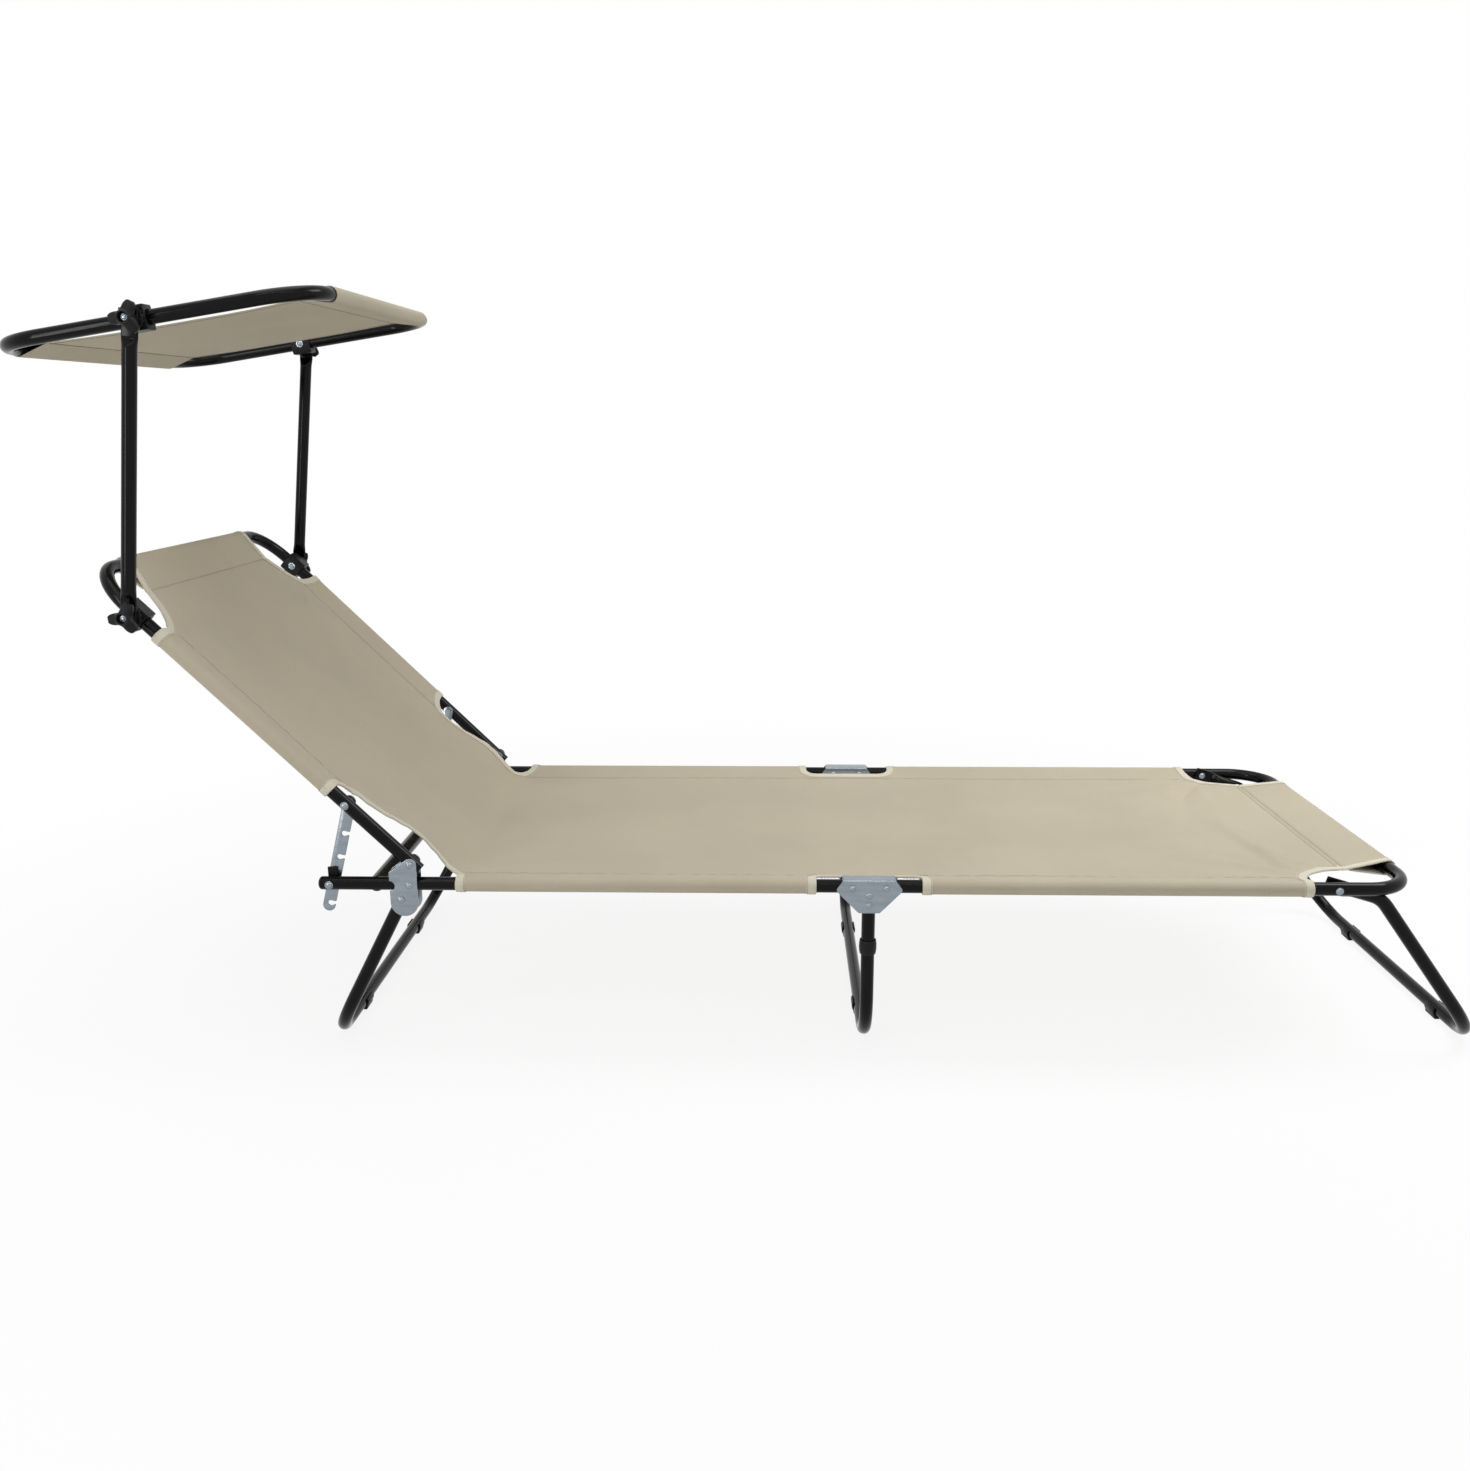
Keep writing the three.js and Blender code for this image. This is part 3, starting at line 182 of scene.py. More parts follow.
# %% [markdown]
# ## Hard finishes
# The tubes have a gloss black powder coat, the brackets are zinc-plated sheet, and clips and knobs are
# moulded plastic. A picture could be wrapped over them, but a small node tree in object coordinates needs
# no unwrapping, never stretches and stays sharp close up. Each finish mixes two near tones in slow patches,
# varies its roughness in smaller ones, and carries a fine grain as bump. A value that is the same all over
# is set on the shader's own socket, so that other programs can read it as a plain number.

# %%
# Hard finishes
def grained(name, first, second, roughness, patch, grain, depth, metallic=0.0, specular=0.5,
            stretch=(1, 1, 1)):
    """Two tones in patches, roughness in finer ones, and a grain as bump; patch and grain count per metre."""
    material, tree, shader = new_material(name)
    here = add(tree, "ShaderNodeTexCoord").outputs["Object"]
    where = add(tree, "ShaderNodeMapping", {"Vector": here, "Scale": stretch}).outputs["Vector"]
    tone = two_tone(tree, ramp(tree, noise(tree, where, patch), 0, 1), first, second)
    rough = ramp(tree, noise(tree, where, patch * 3), *roughness)
    tree.links.new(tone, shader.inputs["Base Color"])
    tree.links.new(rough, shader.inputs["Roughness"])
    shader.inputs["Metallic"].default_value = metallic
    shader.inputs["Specular IOR Level"].default_value = specular
    bump(tree, shader, noise(tree, where, grain, 4), depth)
    return material


powder = grained("powder_coat", (0.0022, 0.0022, 0.0025), (0.0038, 0.0038, 0.0042), roughness=(0.11, 0.19),
                 patch=14, grain=900, depth=0.02 * MM, specular=0.13)
zinc = grained("zinc_plate", (0.245, 0.280, 0.315), (0.295, 0.330, 0.365), roughness=(0.18, 0.32),
               patch=30, grain=2600, depth=0.03 * MM, metallic=1.0, stretch=(1, 1, 6))
plastic = grained("black_plastic", (0.006, 0.006, 0.0065), (0.011, 0.011, 0.0115), roughness=(0.34, 0.48),
                  patch=60, grain=2400, depth=0.06 * MM, specular=0.16)
print("hard finishes:", powder.name, zinc.name, plastic.name)

# %% [markdown]
# ## Woven cloth
# The cover is a plain-woven polyester: two sets of yarns pass over and under each other at right angles.
# Millions of real yarns can't be modelled, so the weave is a formula. The sine of U and of V gives the
# round backs of the yarns, and a checker says which of the two lies on top. The colour is painted darker
# where that height is low, as shade in the gaps between the yarns, and it also varies at random with the
# yarns' slubs. It reads the piece's own UV map, laid out in metres of flat cloth, so that the weave bends
# with the sleeves and pockets as real cloth does.

# %%
# Cloth finishes
def woven(name, light, dark, pitch, depth):
    """Plain weave along U and V: a yarn of each set on every other square of a check, with shade painted in
    its gaps.
    """
    material, tree, shader = new_material(name)
    flat = add(tree, "ShaderNodeUVMap").outputs["UV"]
    split = add(tree, "ShaderNodeSeparateXYZ", {0: flat})
    backs = []
    for axis in ("X", "Y"):
        phase = maths(tree, "MULTIPLY", split.outputs[axis], math.pi / pitch)
        backs.append(maths(tree, "ABSOLUTE", maths(tree, "SINE", phase)))
    over = add(tree, "ShaderNodeTexChecker", {"Vector": flat, "Scale": 1 / pitch}).outputs["Fac"]
    under = maths(tree, "SUBTRACT", 1.0, over)
    shown = [maths(tree, "MULTIPLY", back, share) for back, share in zip(backs, (over, under))]
    height = maths(tree, "ADD", *shown)
    here = add(tree, "ShaderNodeTexCoord").outputs["Object"]
    uneven = ramp(tree, noise(tree, here, 420), 0.72, 1.05)
    cloud = ramp(tree, noise(tree, here, 5, 4), 0.95, 1.05)
    # painted shade: the colour falls from light on the yarns' backs to dark in the gaps between them, times
    # random slubs
    weave_shade_and_slub = maths(tree, "MULTIPLY", height, uneven)
    colour = two_tone(tree, ramp(tree, weave_shade_and_slub, 0, 1, 0.1, 0.9), dark, light)
    tint = add(tree, "ShaderNodeHueSaturation", {"Value": cloud, "Color": colour})
    tree.links.new(tint.outputs["Color"], shader.inputs["Base Color"])
    for socket, value in (("Roughness", 0.85), ("Specular IOR Level", 0.25), ("Sheen Weight", 0.15),
                          ("Sheen Roughness", 0.5)):
        shader.inputs[socket].default_value = value
    bump(tree, shader, height, depth, 0.8)
    return material


# The second tone of cloth and tape is the painted shade in the gaps between yarns.
cloth = woven("beige_cloth", (0.578, 0.516, 0.389), (0.472, 0.416, 0.309), pitch=1.1 * MM, depth=0.12 * MM)
tape = woven("binding_tape", (0.75, 0.70, 0.565), (0.64, 0.59, 0.475), pitch=0.8 * MM, depth=0.09 * MM)
# painted shade: the thread is much darker than the cloth, so that its rows stand for the shade in the sewn
# seams
thread = grained("thread_with_seam_shade", (0.20, 0.172, 0.125), (0.16, 0.138, 0.10), roughness=(0.6, 0.75),
                 patch=300, grain=5000, depth=0.05 * MM)
print("cloth finishes:", cloth.name, tape.name, thread.name)

# %% [markdown]
# ## Pieces and pairs
# Each piece begins as a list of points and faces. They could be modelled by hand, but written points stay
# exact in size and can be measured. A new piece is shaded smoothly except across its real edges, and then
# rides on its body in place of the plain node. The lounger is the same on both sides, so hardware is made
# once, for the far side, and its near twin is a mirrored copy whose faces are flipped to point outwards.

# %%
# Pieces and pairs
def in_scene(name, mesh):
    piece = bpy.data.objects.new(name, mesh)
    bpy.context.collection.objects.link(piece)
    return piece


def shaded(mesh, angle):
    """Smooth, but with an edge wherever two faces meet at more than angle, in degrees."""
    mesh.shade_smooth()
    mesh.set_sharp_from_angle(angle=math.radians(angle))
    return mesh


def mesh_object(name, points, faces, material, uv=None, angle=35):
    """A piece from points and faces, with a flat-cloth place for each point where uv is given."""
    mesh = bpy.data.meshes.new(name)
    mesh.from_pydata([tuple(p) for p in points], [], faces)
    mesh.materials.append(material)
    if uv is not None:
        layer = mesh.uv_layers.new(name="UVMap")
        corner = np.zeros(len(mesh.loops), int)
        mesh.loops.foreach_get("vertex_index", corner)
        layer.data.foreach_set("uv", np.asarray(uv, float)[corner].ravel())
    return in_scene(name, shaded(mesh, angle))


def outward(piece, weld=False, cap=False):
    """Turn all faces outwards, after doubled points are merged and open ends closed where that is asked."""
    work = bmesh.new()
    work.from_mesh(piece.data)
    if weld:
        bmesh.ops.remove_doubles(work, verts=work.verts, dist=1e-6)
    if cap:
        bmesh.ops.holes_fill(work, edges=work.edges)
    bmesh.ops.recalc_face_normals(work, faces=work.faces)
    work.to_mesh(piece.data)
    work.free()
    return piece


def dressed(piece, body, slot, *nodes):
    """Let a piece ride on its body in place of the plain nodes; slot is not used."""
    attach(piece, body)
    if nodes:
        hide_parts(*nodes)
    return piece


def pair(far, body, slot, node, twin=None):
    """The far piece and its mirror image; {side} in the body's name stands for near or far."""
    mesh = far.data.copy()
    mesh.transform(Matrix.Scale(-1, 4, (0, 1, 0)))
    mesh.flip_normals()
    near = in_scene(twin or far.name.replace("_far", "_near"), mesh)
    for piece, side in ((far, "far"), (near, "near")):
        dressed(piece, body.format(side=side), slot, f"{node}_{side}")
    extent = np.ptp([v.co[:] for v in mesh.vertices], axis=0) / MM
    print(far.name, "and its twin measure", [round(float(v), 1) for v in extent], "mm")


print("plain nodes to dress:", len(frame["nodes"]))

# %% [markdown]
# ## Bent routes
# The frame is round 18 mm tube, bent on a machine that turns it round a die, so every bend is a true arc. A
# Bezier curve only comes near an arc. Here a route is a list of corners with a radius for each, which
# becomes stations along the tube's middle, each with its place and its heading. Their distances add up to
# the length of straight tube that the bent one is made from.

# %%
# Bent routes
def bent(points, radii, steps=12):
    """Stations (place, heading) along straight runs joined by round bends, with steps to a right angle."""
    points = [Vector(p) for p in points]
    stations = [(points[0], (points[1] - points[0]).normalized())]
    for before, corner, after, radius in zip(points, points[1:], points[2:], radii):
        come, leave = (corner - before).normalized(), (after - corner).normalized()
        bend = come.angle(leave)
        start = corner - come * radius * math.tan(bend / 2)
        across = (leave - come * come.dot(leave)).normalized()
        count = max(3, round(steps * bend / (math.pi / 2)))
        for i in range(count + 1):
            t = bend * i / count
            stations.append((start + come * radius * math.sin(t) + across * radius * (1 - math.cos(t)),
                             come * math.cos(t) + across * math.sin(t)))
    stations.append((points[-1], (points[-1] - points[-2]).normalized()))
    return stations


def cut_length(stations):
    """Length of straight tube that a bent one is made from, in mm."""
    return round(sum((b - a).length for (a, _), (b, _) in zip(stations, stations[1:])) / MM)


corner_route = bent([(-0.1, 0, 0), (0, 0, 0), (0, 0.1, 0)], [75 * MM])
print("a right-angled bend of 75 mm radius takes", cut_length(corner_route) - 50, "mm of tube")

# %% [markdown]
# ## Tube walls
# A curve with a round bevel would give nearly the same look as a tube, but would squeeze its bends. Here a
# ring of points is carried along the stations, with an inner ring for the wall, and neighbouring rings are
# joined by faces. The same few lines of joining serve everything that is made of rings: tubes, turned
# pieces, collars, knobs and, further below, tape.

# %%
# Tube walls
def joined(rings, sides, closed=True):
    """Faces between rings of points, numbered ring by ring; closed joins the last ring to the first."""
    total, faces = len(rings), []
    for r in range(total if closed else total - 1):
        this, following = r * sides, (r + 1) % total * sides
        for k in range(sides):
            m = (k + 1) % sides
            faces.append((this + k, this + m, following + m, following + k))
    return faces


def sweep(name, stations, radius=TUBE * MM, wall=1.2 * MM, sides=36, flat=None, first_normal=(0, 1, 0)):
    """A hollow tube; flat gives (half width, half depth) for the stations where it isn't round."""
    normal = Vector(first_normal)
    outer, inner = [], []
    for i, (at, heading) in enumerate(stations):
        normal = (normal - heading * normal.dot(heading)).normalized()
        sideways = heading.cross(normal)
        wide, deep = flat.get(i, (radius, radius)) if flat else (radius, radius)
        for rings, less in ((outer, 0.0), (inner, wall)):
            w, d = wide - less, max(deep - less, 0.3 * MM)
            ring = []
            for k in range(sides):
                t = 2 * math.pi * (k + 0.5) / sides
                reach = math.sin(t) * d + math.copysign(w - d, math.sin(t))
                ring.append(at + sideways * reach + normal * (math.cos(t) * d))
            rings.append(ring)
    rings = outer + inner[::-1]
    points = [p for ring in rings for p in ring]
    return outward(mesh_object(name, points, joined(rings, sides), powder, angle=50))


print("a ring of 36 points on an 18 mm tube has sides of", round(2 * TUBE * math.sin(math.pi / 36), 2), "mm")

# %% [markdown]
# ## Rails and cross bar
# Two straight rails carry the rear half of the seat, with open stubs behind the backrest, and a slightly
# thicker bar ties them together there. They could be stretched cylinders, but are swept like the bent
# tubes, so that all of the frame has the same wall. Wherever an end turns inside a bracket, rings that
# shrink close it to a dome, as the real ends are capped or pressed shut.

# %%
# Rails and cross bar
STUB, CROSS = -122, -49.5       # the rails' open ends and the cross bar, from the hinge
CROSS_RADIUS = 10.5


def domed(stations, start=True, end=True):
    """Stations with rings that shrink beyond the ends, and the half sizes of those rings."""
    angles = [math.radians(a) for a in (80, 60, 40, 20)]
    (first, heading), (last, tail) = stations[0], stations[-1]
    head = [(first - heading * TUBE * MM * math.sin(a), heading) for a in angles] if start else []
    toe = [(last + tail * TUBE * MM * math.sin(a), tail) for a in reversed(angles)] if end else []
    whole = head + stations + toe
    sizes = [(TUBE * MM * math.cos(a) + 0.2 * MM,) * 2 for a in angles]     # never quite a point
    flat = dict(zip(range(len(head)), sizes))
    flat.update({len(whole) - 1 - i: sizes[i] for i in range(len(toe))})
    return whole, flat


rail = bent([place(STUB, RAIL, SEAT), place(MID - PAIRED, RAIL, SEAT)], [])
stations, flat = domed(rail, start=False)
pair(sweep("rail_tube_far", stations, flat=flat, first_normal=(0, 0, 1)), "rear_half", "frame", "rear_rail")
bar = bent([place(CROSS, -RAIL, SEAT - 1), place(CROSS, RAIL, SEAT - 1)], [])
cross_bar = sweep("cross_bar_tube", bar, radius=CROSS_RADIUS * MM, first_normal=(0, 0, 1))
dressed(cross_bar, "rear_half", "frame", "rear_cross_bar")
print("rail", cut_length(rail), "mm, cross bar", cut_length(bar), "mm")

# %% [markdown]
# ## Legs and frames bent to a U
# The middle leg, the rear leg, the front half and the backrest are each one tube bent twice. They differ
# only in their corners, their bends and whether their ends show, so one loop over a table makes all four.
# The backrest stands at 45 degrees in the picture, so its corners are first counted along its own slope.

# %%
# Legs and frames bent to a U
SLOPE = math.sqrt(0.5)      # sine and cosine of the backrest's 45 degrees
LEG_BEND, FRAME_BEND, CANOPY_BEND = 75 * MM, 62 * MM, 66 * MM
REAR_LEG, REAR_GROUND = -14, -126       # the rear leg's rivet and its bar on the floor
HEAD_BAR = 547                          # the bar at the head, up the backrest from its hinge


def on_back(along, y, lift=0.0):
    """A point on the raised backrest: mm up from its pivot, across, and off its plane."""
    return place(-along * SLOPE + lift * SLOPE, y, SEAT + PIVOT + along * SLOPE + lift * SLOPE)


def u_corners(start, end, point=place):
    """The four corners of a U from its near end round to its far end, each side seen from the side."""
    return [point(x, y, z) for (x, z), y in ((start, -RAIL), (end, -RAIL), (end, RAIL), (start, RAIL))]


# name, body, plain node, corners, bend, whether its ends are closed, first normal
U_TUBES = (
    ("middle_leg_tube", "mid_stand", "middle_leg", u_corners((MID, SEAT), (MID, GROUND)),
     LEG_BEND, False, (1, 0, 0)),
    ("rear_leg_tube", "rear_leg_body", "rear_leg", u_corners((REAR_LEG, SEAT - 20), (REAR_GROUND, GROUND)),
     LEG_BEND, True, (1, 0, 0)),
    ("front_frame_tube", "front_half", "front_frame", u_corners((MID + PAIRED, SEAT), (FOOT, SEAT)),
     FRAME_BEND, True, (0, 0, 1)),
    ("backrest_tube", "backrest", "back_frame", u_corners((-14, 0), (HEAD_BAR, 0), on_back),
     FRAME_BEND, False, (1, 0, 0)))
for name, body, node, corners, bend, closed, normal in U_TUBES:
    route = bent(corners, [bend] * 2)
    stations, flat = domed(route) if closed else (route, None)
    dressed(sweep(name, stations, flat=flat, first_normal=normal), body, "frame", node)
    print(name, "is bent from", cut_length(route), "mm of tube")

# %% [markdown]
# ## Tubes with pressed ends
# The front leg and the two canopy arms end in a flat tongue with a hole for a rivet or bolt. A press
# squeezes the round tube there, so its width grows while its depth falls to two walls. The same sweep can
# do that: a few extra rings near the end change smoothly from round to flat, which keeps the piece in one
# skin.

# %%
# Pressed ends
def tongue(length, taper, wide, deep, count=8):
    """Rings (distance, half width, half depth) in mm, from the flat end smoothly to the round tube."""
    rows = [(0, wide, deep), (length * 0.5, wide, deep)]
    for i in range(count + 1):
        t = i / count
        share = t * t * (3 - 2 * t)
        rows.append((length + taper * t, wide + (TUBE - wide) * share, deep + (TUBE - deep) * share))
    return [tuple(v * MM for v in row) for row in rows]


def pressed(stations, shape, flush):
    """Rings of that shape at both ends; flush 1 keeps the tongue level with the tube's outer side."""
    flat, out = {}, []

    def ring(at, inward, heading, distance, wide, deep):
        flat[len(out)] = (wide, deep)
        shift = Vector((0, math.copysign(TUBE * MM - deep, at.y) * flush, 0))
        out.append((at + inward * distance + shift, heading))

    (start, heading), (end, tail) = stations[0], stations[-1]
    for row in shape:
        ring(start, heading, heading, *row)
    out += stations[1:-1]
    for row in reversed(shape):
        ring(end, -tail, tail, *row)
    return out, flat


for row in tongue(22, 22, 11, 1.9)[::5]:
    print("at, half width and half depth in mm:", [round(v / MM, 1) for v in row])

# %% [markdown]
# ## Front leg
# The front leg hangs from a rivet inside the front rail, dips to a knee, and reaches forwards to the floor
# under the foot end. It could be put together from straight and curved pieces, but the real one is a single
# tube with four bends. So only its corners are written, and the bends, the wall and the pressed ends all
# come from the helpers above.

# %%
# Front leg
LEG_RIVET, LEG_INSET = FOOT - 104, RAIL - 18.4      # its rivet, and how far out each of its sides stands
FRONT_GROUND = FOOT + 121
KNEE = (68, -20)                                    # from the rivet to the knee
beyond = Vector((-KNEE[0], 0, -KNEE[1])) / math.hypot(*KNEE) * 11 * MM      # the tongue past the rivet
side = [place(LEG_RIVET, -LEG_INSET, SEAT) + beyond, place(LEG_RIVET + KNEE[0], -LEG_INSET, SEAT + KNEE[1]),
        place(FRONT_GROUND, -LEG_INSET, GROUND)]
corners = side + [Vector((p.x, -p.y, p.z)) for p in reversed(side)]
route = bent(corners, [38 * MM, LEG_BEND, LEG_BEND, 38 * MM])
stations, flat = pressed(route, tongue(22, 22, 11, 1.9), flush=1)
dressed(sweep("front_leg_tube", stations, flat=flat, wall=0.9 * MM), "front_leg_body", "frame", "front_leg")
print("front leg is bent from", cut_length(route), "mm of tube")

# %% [markdown]
# ## Canopy arms
# Each arm is a straight tube pressed flat at both ends, with a bolt through either tongue. Its ends could
# be measured from the picture, but then they might miss the bolts that it turns on. So they are taken from
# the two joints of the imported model, and only the tongues' sizes are written here.

# %%
# Canopy arms
LOW, TOP = joint_at["canopy_arm_tilt"], joint_at["canopy_tilt"]
ARM = RAIL + 20.7       # middle of an arm, out from the middle of the lounger
arm_axis = (TOP - LOW).normalized()
lower_end, upper_end = (Vector((joint.x, ARM * MM, joint.z)) for joint in (LOW, TOP))
arm = [(lower_end - arm_axis * 10 * MM, arm_axis), (upper_end + arm_axis * 10 * MM, arm_axis)]
stations, flat = pressed(arm, tongue(30, 16, 10.5, 2), flush=0)
pair(sweep("arm_tube_far", stations, flat=flat, wall=0.9 * MM), "canopy_arms", "frame", "canopy_arm")
print("arm", cut_length(arm), "mm from end to end,", cut_length([(LOW, 0), (TOP, 0)]), "mm between its bolts")

# %% [markdown]
# ## Canopy frame
# The canopy is one tube bent into a rectangle with round corners, and its two ends meet inside the rear
# cloth pocket. It stands tilted in the picture. Rather than turn an object, each place is worked out in mm
# from the canopy's bolt and tilted by one function, because a finished piece has to sit at the origin
# unturned.

# %%
# Canopy frame
TILT = math.radians(8.8)
REAR_BAR, FRONT_BAR = -195, 216     # middles of its two cross bars, from the bolt
JOINT_GAP = 0.25                    # half the gap where the tube's ends meet


def on_canopy(x, y, z=0.0):
    """mm ahead of the bolt, across, and above the canopy's plane; single numbers or whole grids of them."""
    c, s = math.cos(TILT), math.sin(TILT)
    return np.stack([TOP.x + (x * c - z * s) * MM, y * MM, TOP.z + (x * s + z * c) * MM], axis=-1)


ring = [(REAR_BAR, JOINT_GAP), (REAR_BAR, RAIL), (FRONT_BAR, RAIL), (FRONT_BAR, -RAIL), (REAR_BAR, -RAIL),
        (REAR_BAR, -JOINT_GAP)]
route = bent([on_canopy(x, y) for x, y in ring], [CANOPY_BEND] * 4)
dressed(sweep("canopy_tube", route, first_normal=(1, 0, 0)), "canopy", "frame", "canopy_frame")
print("canopy frame is bent from", cut_length(route), "mm of tube")

# %% [markdown]
# ## Turned pieces
# Rivets, pins, bolts and plugs are round about one line, as if made on a lathe. Blender's Screw modifier
# can spin a profile too. Here the profile's points are spun in code, which gives the number of segments and
# the exact length, and then doubled points at the tips are merged and open ends closed.

# %%
# Turned pieces
TIP = 0.0001        # mm, a radius small enough to merge into one point


def turned(name, profile, at, material, segments=40):
    """Spin a profile of (radius, distance) in mm about Y; distances count from the place at."""
    points, faces = [], []
    for r, y in profile:
        for k in range(segments):
            t = 2 * math.pi * k / segments
            points.append((at[0] + r * MM * math.cos(t), at[1] + y * MM, at[2] + r * MM * math.sin(t)))
    piece = mesh_object(name, points, joined(profile, segments, closed=False), material)
    outward(piece, weld=True, cap=True)
    piece.data.set_sharp_from_angle(angle=math.radians(35))
    return piece


def dome(radius, height, y, count=6):
    """Profile of a domed head on a thin brim that starts flat at y and closes at y + height."""
    crown, brim = 0.76 * radius, 0.3 * height
    profile = [(radius, y), (radius, y + 0.7 * brim), (0.94 * radius, y + brim)]
    profile.append((crown * 1.03, y + 1.05 * brim))
    for i in range(1, count):
        t = math.pi / 2 * i / count
        profile.append((crown * math.cos(t), y + brim + (height - brim) * math.sin(t)))
    return profile + [(2 * TIP, y + height)]


print("a rivet's head has", len(dome(5.1, 2.5, 0)), "points in its profile")

# %% [markdown]
# ## Rivets
# Every joint turns on a steel rivet: a shank with a low round head on each side, standing on a thin brim. A
# sphere pressed into the plate would look right only from afar. A turned profile gives the brim, the crown
# and the shank in one closed mesh, and the same function serves all of them with other lengths.

# %%
# Rivets
HEAD, RISE, SHANK = 5.1, 2.5, 3.0       # radius and height of a head, and the shank's radius
CLENCH = 11.6                           # from the rail's middle to the face under a head


def rivet(name, x, z, inner, outer):
    """A rivet along Y at (x, z), with the faces that it clenches at inner and outer mm from the rail."""
    low = [(r, -y) for r, y in dome(HEAD, RISE, -RAIL - inner)][::-1]
    shank = [(SHANK, RAIL + inner), (SHANK, RAIL + outer)]
    return turned(name, low + shank + dome(HEAD, RISE, RAIL + outer), place(x, 0, z), zinc)


# name, plain node, body, x, z, and the two faces that it clenches
RIVETS = (("back_rivet", "back_pivot", "rear_half", 0, SEAT + PIVOT, -CLENCH, CLENCH),
          ("rear_leg_rivet", "rear_leg_pivot", "rear_half", REAR_LEG, SEAT - 20, -CLENCH, CLENCH),
          ("stand_rivet_rear", "rear_rail_pivot", "mid_stand", MID - PAIRED, SEAT, -CLENCH, CLENCH),
          ("stand_rivet_front", "front_rail_pivot", "mid_stand", MID + PAIRED, SEAT, -CLENCH, CLENCH),
          ("front_leg_rivet", "front_leg_pivot", "front_half", LEG_RIVET, SEAT, -13.5, 9.3))
for stem, node, body, x, z, inner, outer in RIVETS:
    pair(rivet(f"{stem}_far", x, z, inner, outer), body, "zinc", node)

# %% [markdown]
# ## Pressed plates
# Brackets, strips and clips are cut from sheet or moulded with one outline all through. A Boolean could cut
# them from a block, but it leaves ragged edges. So an outline is drawn with lines and arcs, like a drawing
# for a press, filled as one face, pushed out to its thickness, and its rims are rounded with a fine bevel.

# %%
# Pressed plates
def arc(cx, cz, radius, start, end, count=16):
    """Points on an arc from start to end, in degrees."""
    angles = [math.radians(start + (end - start) * i / count) for i in range(count + 1)]
    return [(cx + radius * math.cos(a), cz + radius * math.sin(a)) for a in angles]


def shifted(outline, at):
    """An outline in mm about its own origin, as metres about a place."""
    return [(at.x + x * MM, at.z + z * MM) for x, z in outline]


def plate(name, outline, low, high, material, rim):
    """A plate with its outline in X and Z, from low to high mm in Y, its edges rounded by rim mm."""
    work = bmesh.new()
    loop = [p for i, p in enumerate(outline) if math.dist(p, outline[i - 1]) > 1e-6]
    face = work.faces.new([work.verts.new((x, low * MM, z)) for x, z in loop])
    grown = bmesh.ops.extrude_face_region(work, geom=[face])
    lid = [v for v in grown["geom"] if isinstance(v, bmesh.types.BMVert)]
    bmesh.ops.translate(work, verts=lid, vec=(0, (high - low) * MM, 0))
    bmesh.ops.recalc_face_normals(work, faces=work.faces)
    rims = [e for e in work.edges if abs(e.verts[0].co.y - e.verts[1].co.y) < 1e-7]
    bmesh.ops.bevel(work, geom=rims, offset=rim * MM, segments=2, profile=0.5, affect="EDGES",
                    clamp_overlap=True)
    mesh = bpy.data.meshes.new(name)
    work.to_mesh(mesh)
    work.free()
    mesh.materials.append(material)
    return in_scene(name, shaded(mesh, 35))


print("a quarter arc has", len(arc(0, 0, 1, 0, 90)), "points")

# %% [markdown]
# ## Rear brackets
# Two cheeks cut from 2 mm zinc-plated sheet clasp each rail near the hinge and carry the backrest's rivet
# above and the leg's rivet below. A folded tab joins the cheeks over the rail, and one more rivet fixes
# them to it. Folding one flat blank would be truer, but the folds hardly show, so flat plates are put
# together. Blender's join operator depends on what is selected. Reading the parts' meshes one after the
# other into a single mesh needs no selection, and each part keeps its own material.

# %%
# Rear brackets
def merged(name, pieces, angle=35):
    """One object from several, with their materials kept."""
    work = bmesh.new()
    materials = []
    for piece in pieces:
        slots = []
        for material in piece.data.materials:
            if material not in materials:
                materials.append(material)
            slots.append(materials.index(material))
        first = len(work.faces)
        work.from_mesh(piece.data)
        work.faces.ensure_lookup_table()
        for face in work.faces[first:]:
            face.material_index = slots[face.material_index]
    mesh = bpy.data.meshes.new(name)
    work.to_mesh(mesh)
    work.free()
    for material in materials:
        mesh.materials.append(material)
    for piece in pieces:
        bpy.data.objects.remove(piece, do_unlink=True)
    return in_scene(name, shaded(mesh, angle))


def rear_cheek():
    """A cheek's outline about the rail: round at its foot and again about the backrest's hinge."""
    foot = -42.5 + 18.5     # middle of the round foot
    middle = (8.5 - 28.5) / 2
    loop = [(-28.5, foot), (-28.5, -7)] + arc(-28.5, 0, 7, -90, 90)
    loop += [(-28.5, 17.5)] + arc(-26, 17.5, 2.5, 180, 120, 5) + arc(0, PIVOT, 9, 142, 0, 22)
    return loop + [(8.5, foot)] + arc(middle, foot, 18.5, 0, -180, 28)[1:-1]


rail_spot = place(0, RAIL, SEAT)
INNER, OUTER = 9.3, 11.3        # a cheek's two faces, out from the rail's middle
tab = [(-28.5, 9.5), (-26.5, 9.5), (-26.5, 19.5), (-28.5, 19.5)]
parts = [plate("cheek", shifted(rear_cheek(), rail_spot), RAIL + low, RAIL + high, zinc, 0.35)
         for low, high in ((-OUTER, -INNER), (INNER, OUTER))]
parts += [plate("tab", shifted(tab, rail_spot), RAIL - 11, RAIL + 11, zinc, 0.3),
          rivet("fixed", -2, SEAT, -OUTER, OUTER)]
pair(merged("rear_plate_far", parts), "rear_half", "zinc", "rear_bracket")

# %% [markdown]
# ## Middle brackets
# In the middle a single sheet is folded over the two rails that meet there, and its sides narrow downwards.
# Bending a flat plate with a modifier would blur the folds. Instead the section across the rail is drawn
# once with its round bends, and each of its points gets as much length as the side outline allows.

# %%
# Middle brackets
CHANNEL_TOP, CHANNEL_FOOT, SHEET = 11.9, -34, 2     # top and foot from the rail's middle, and the sheet
COLUMNS = 24


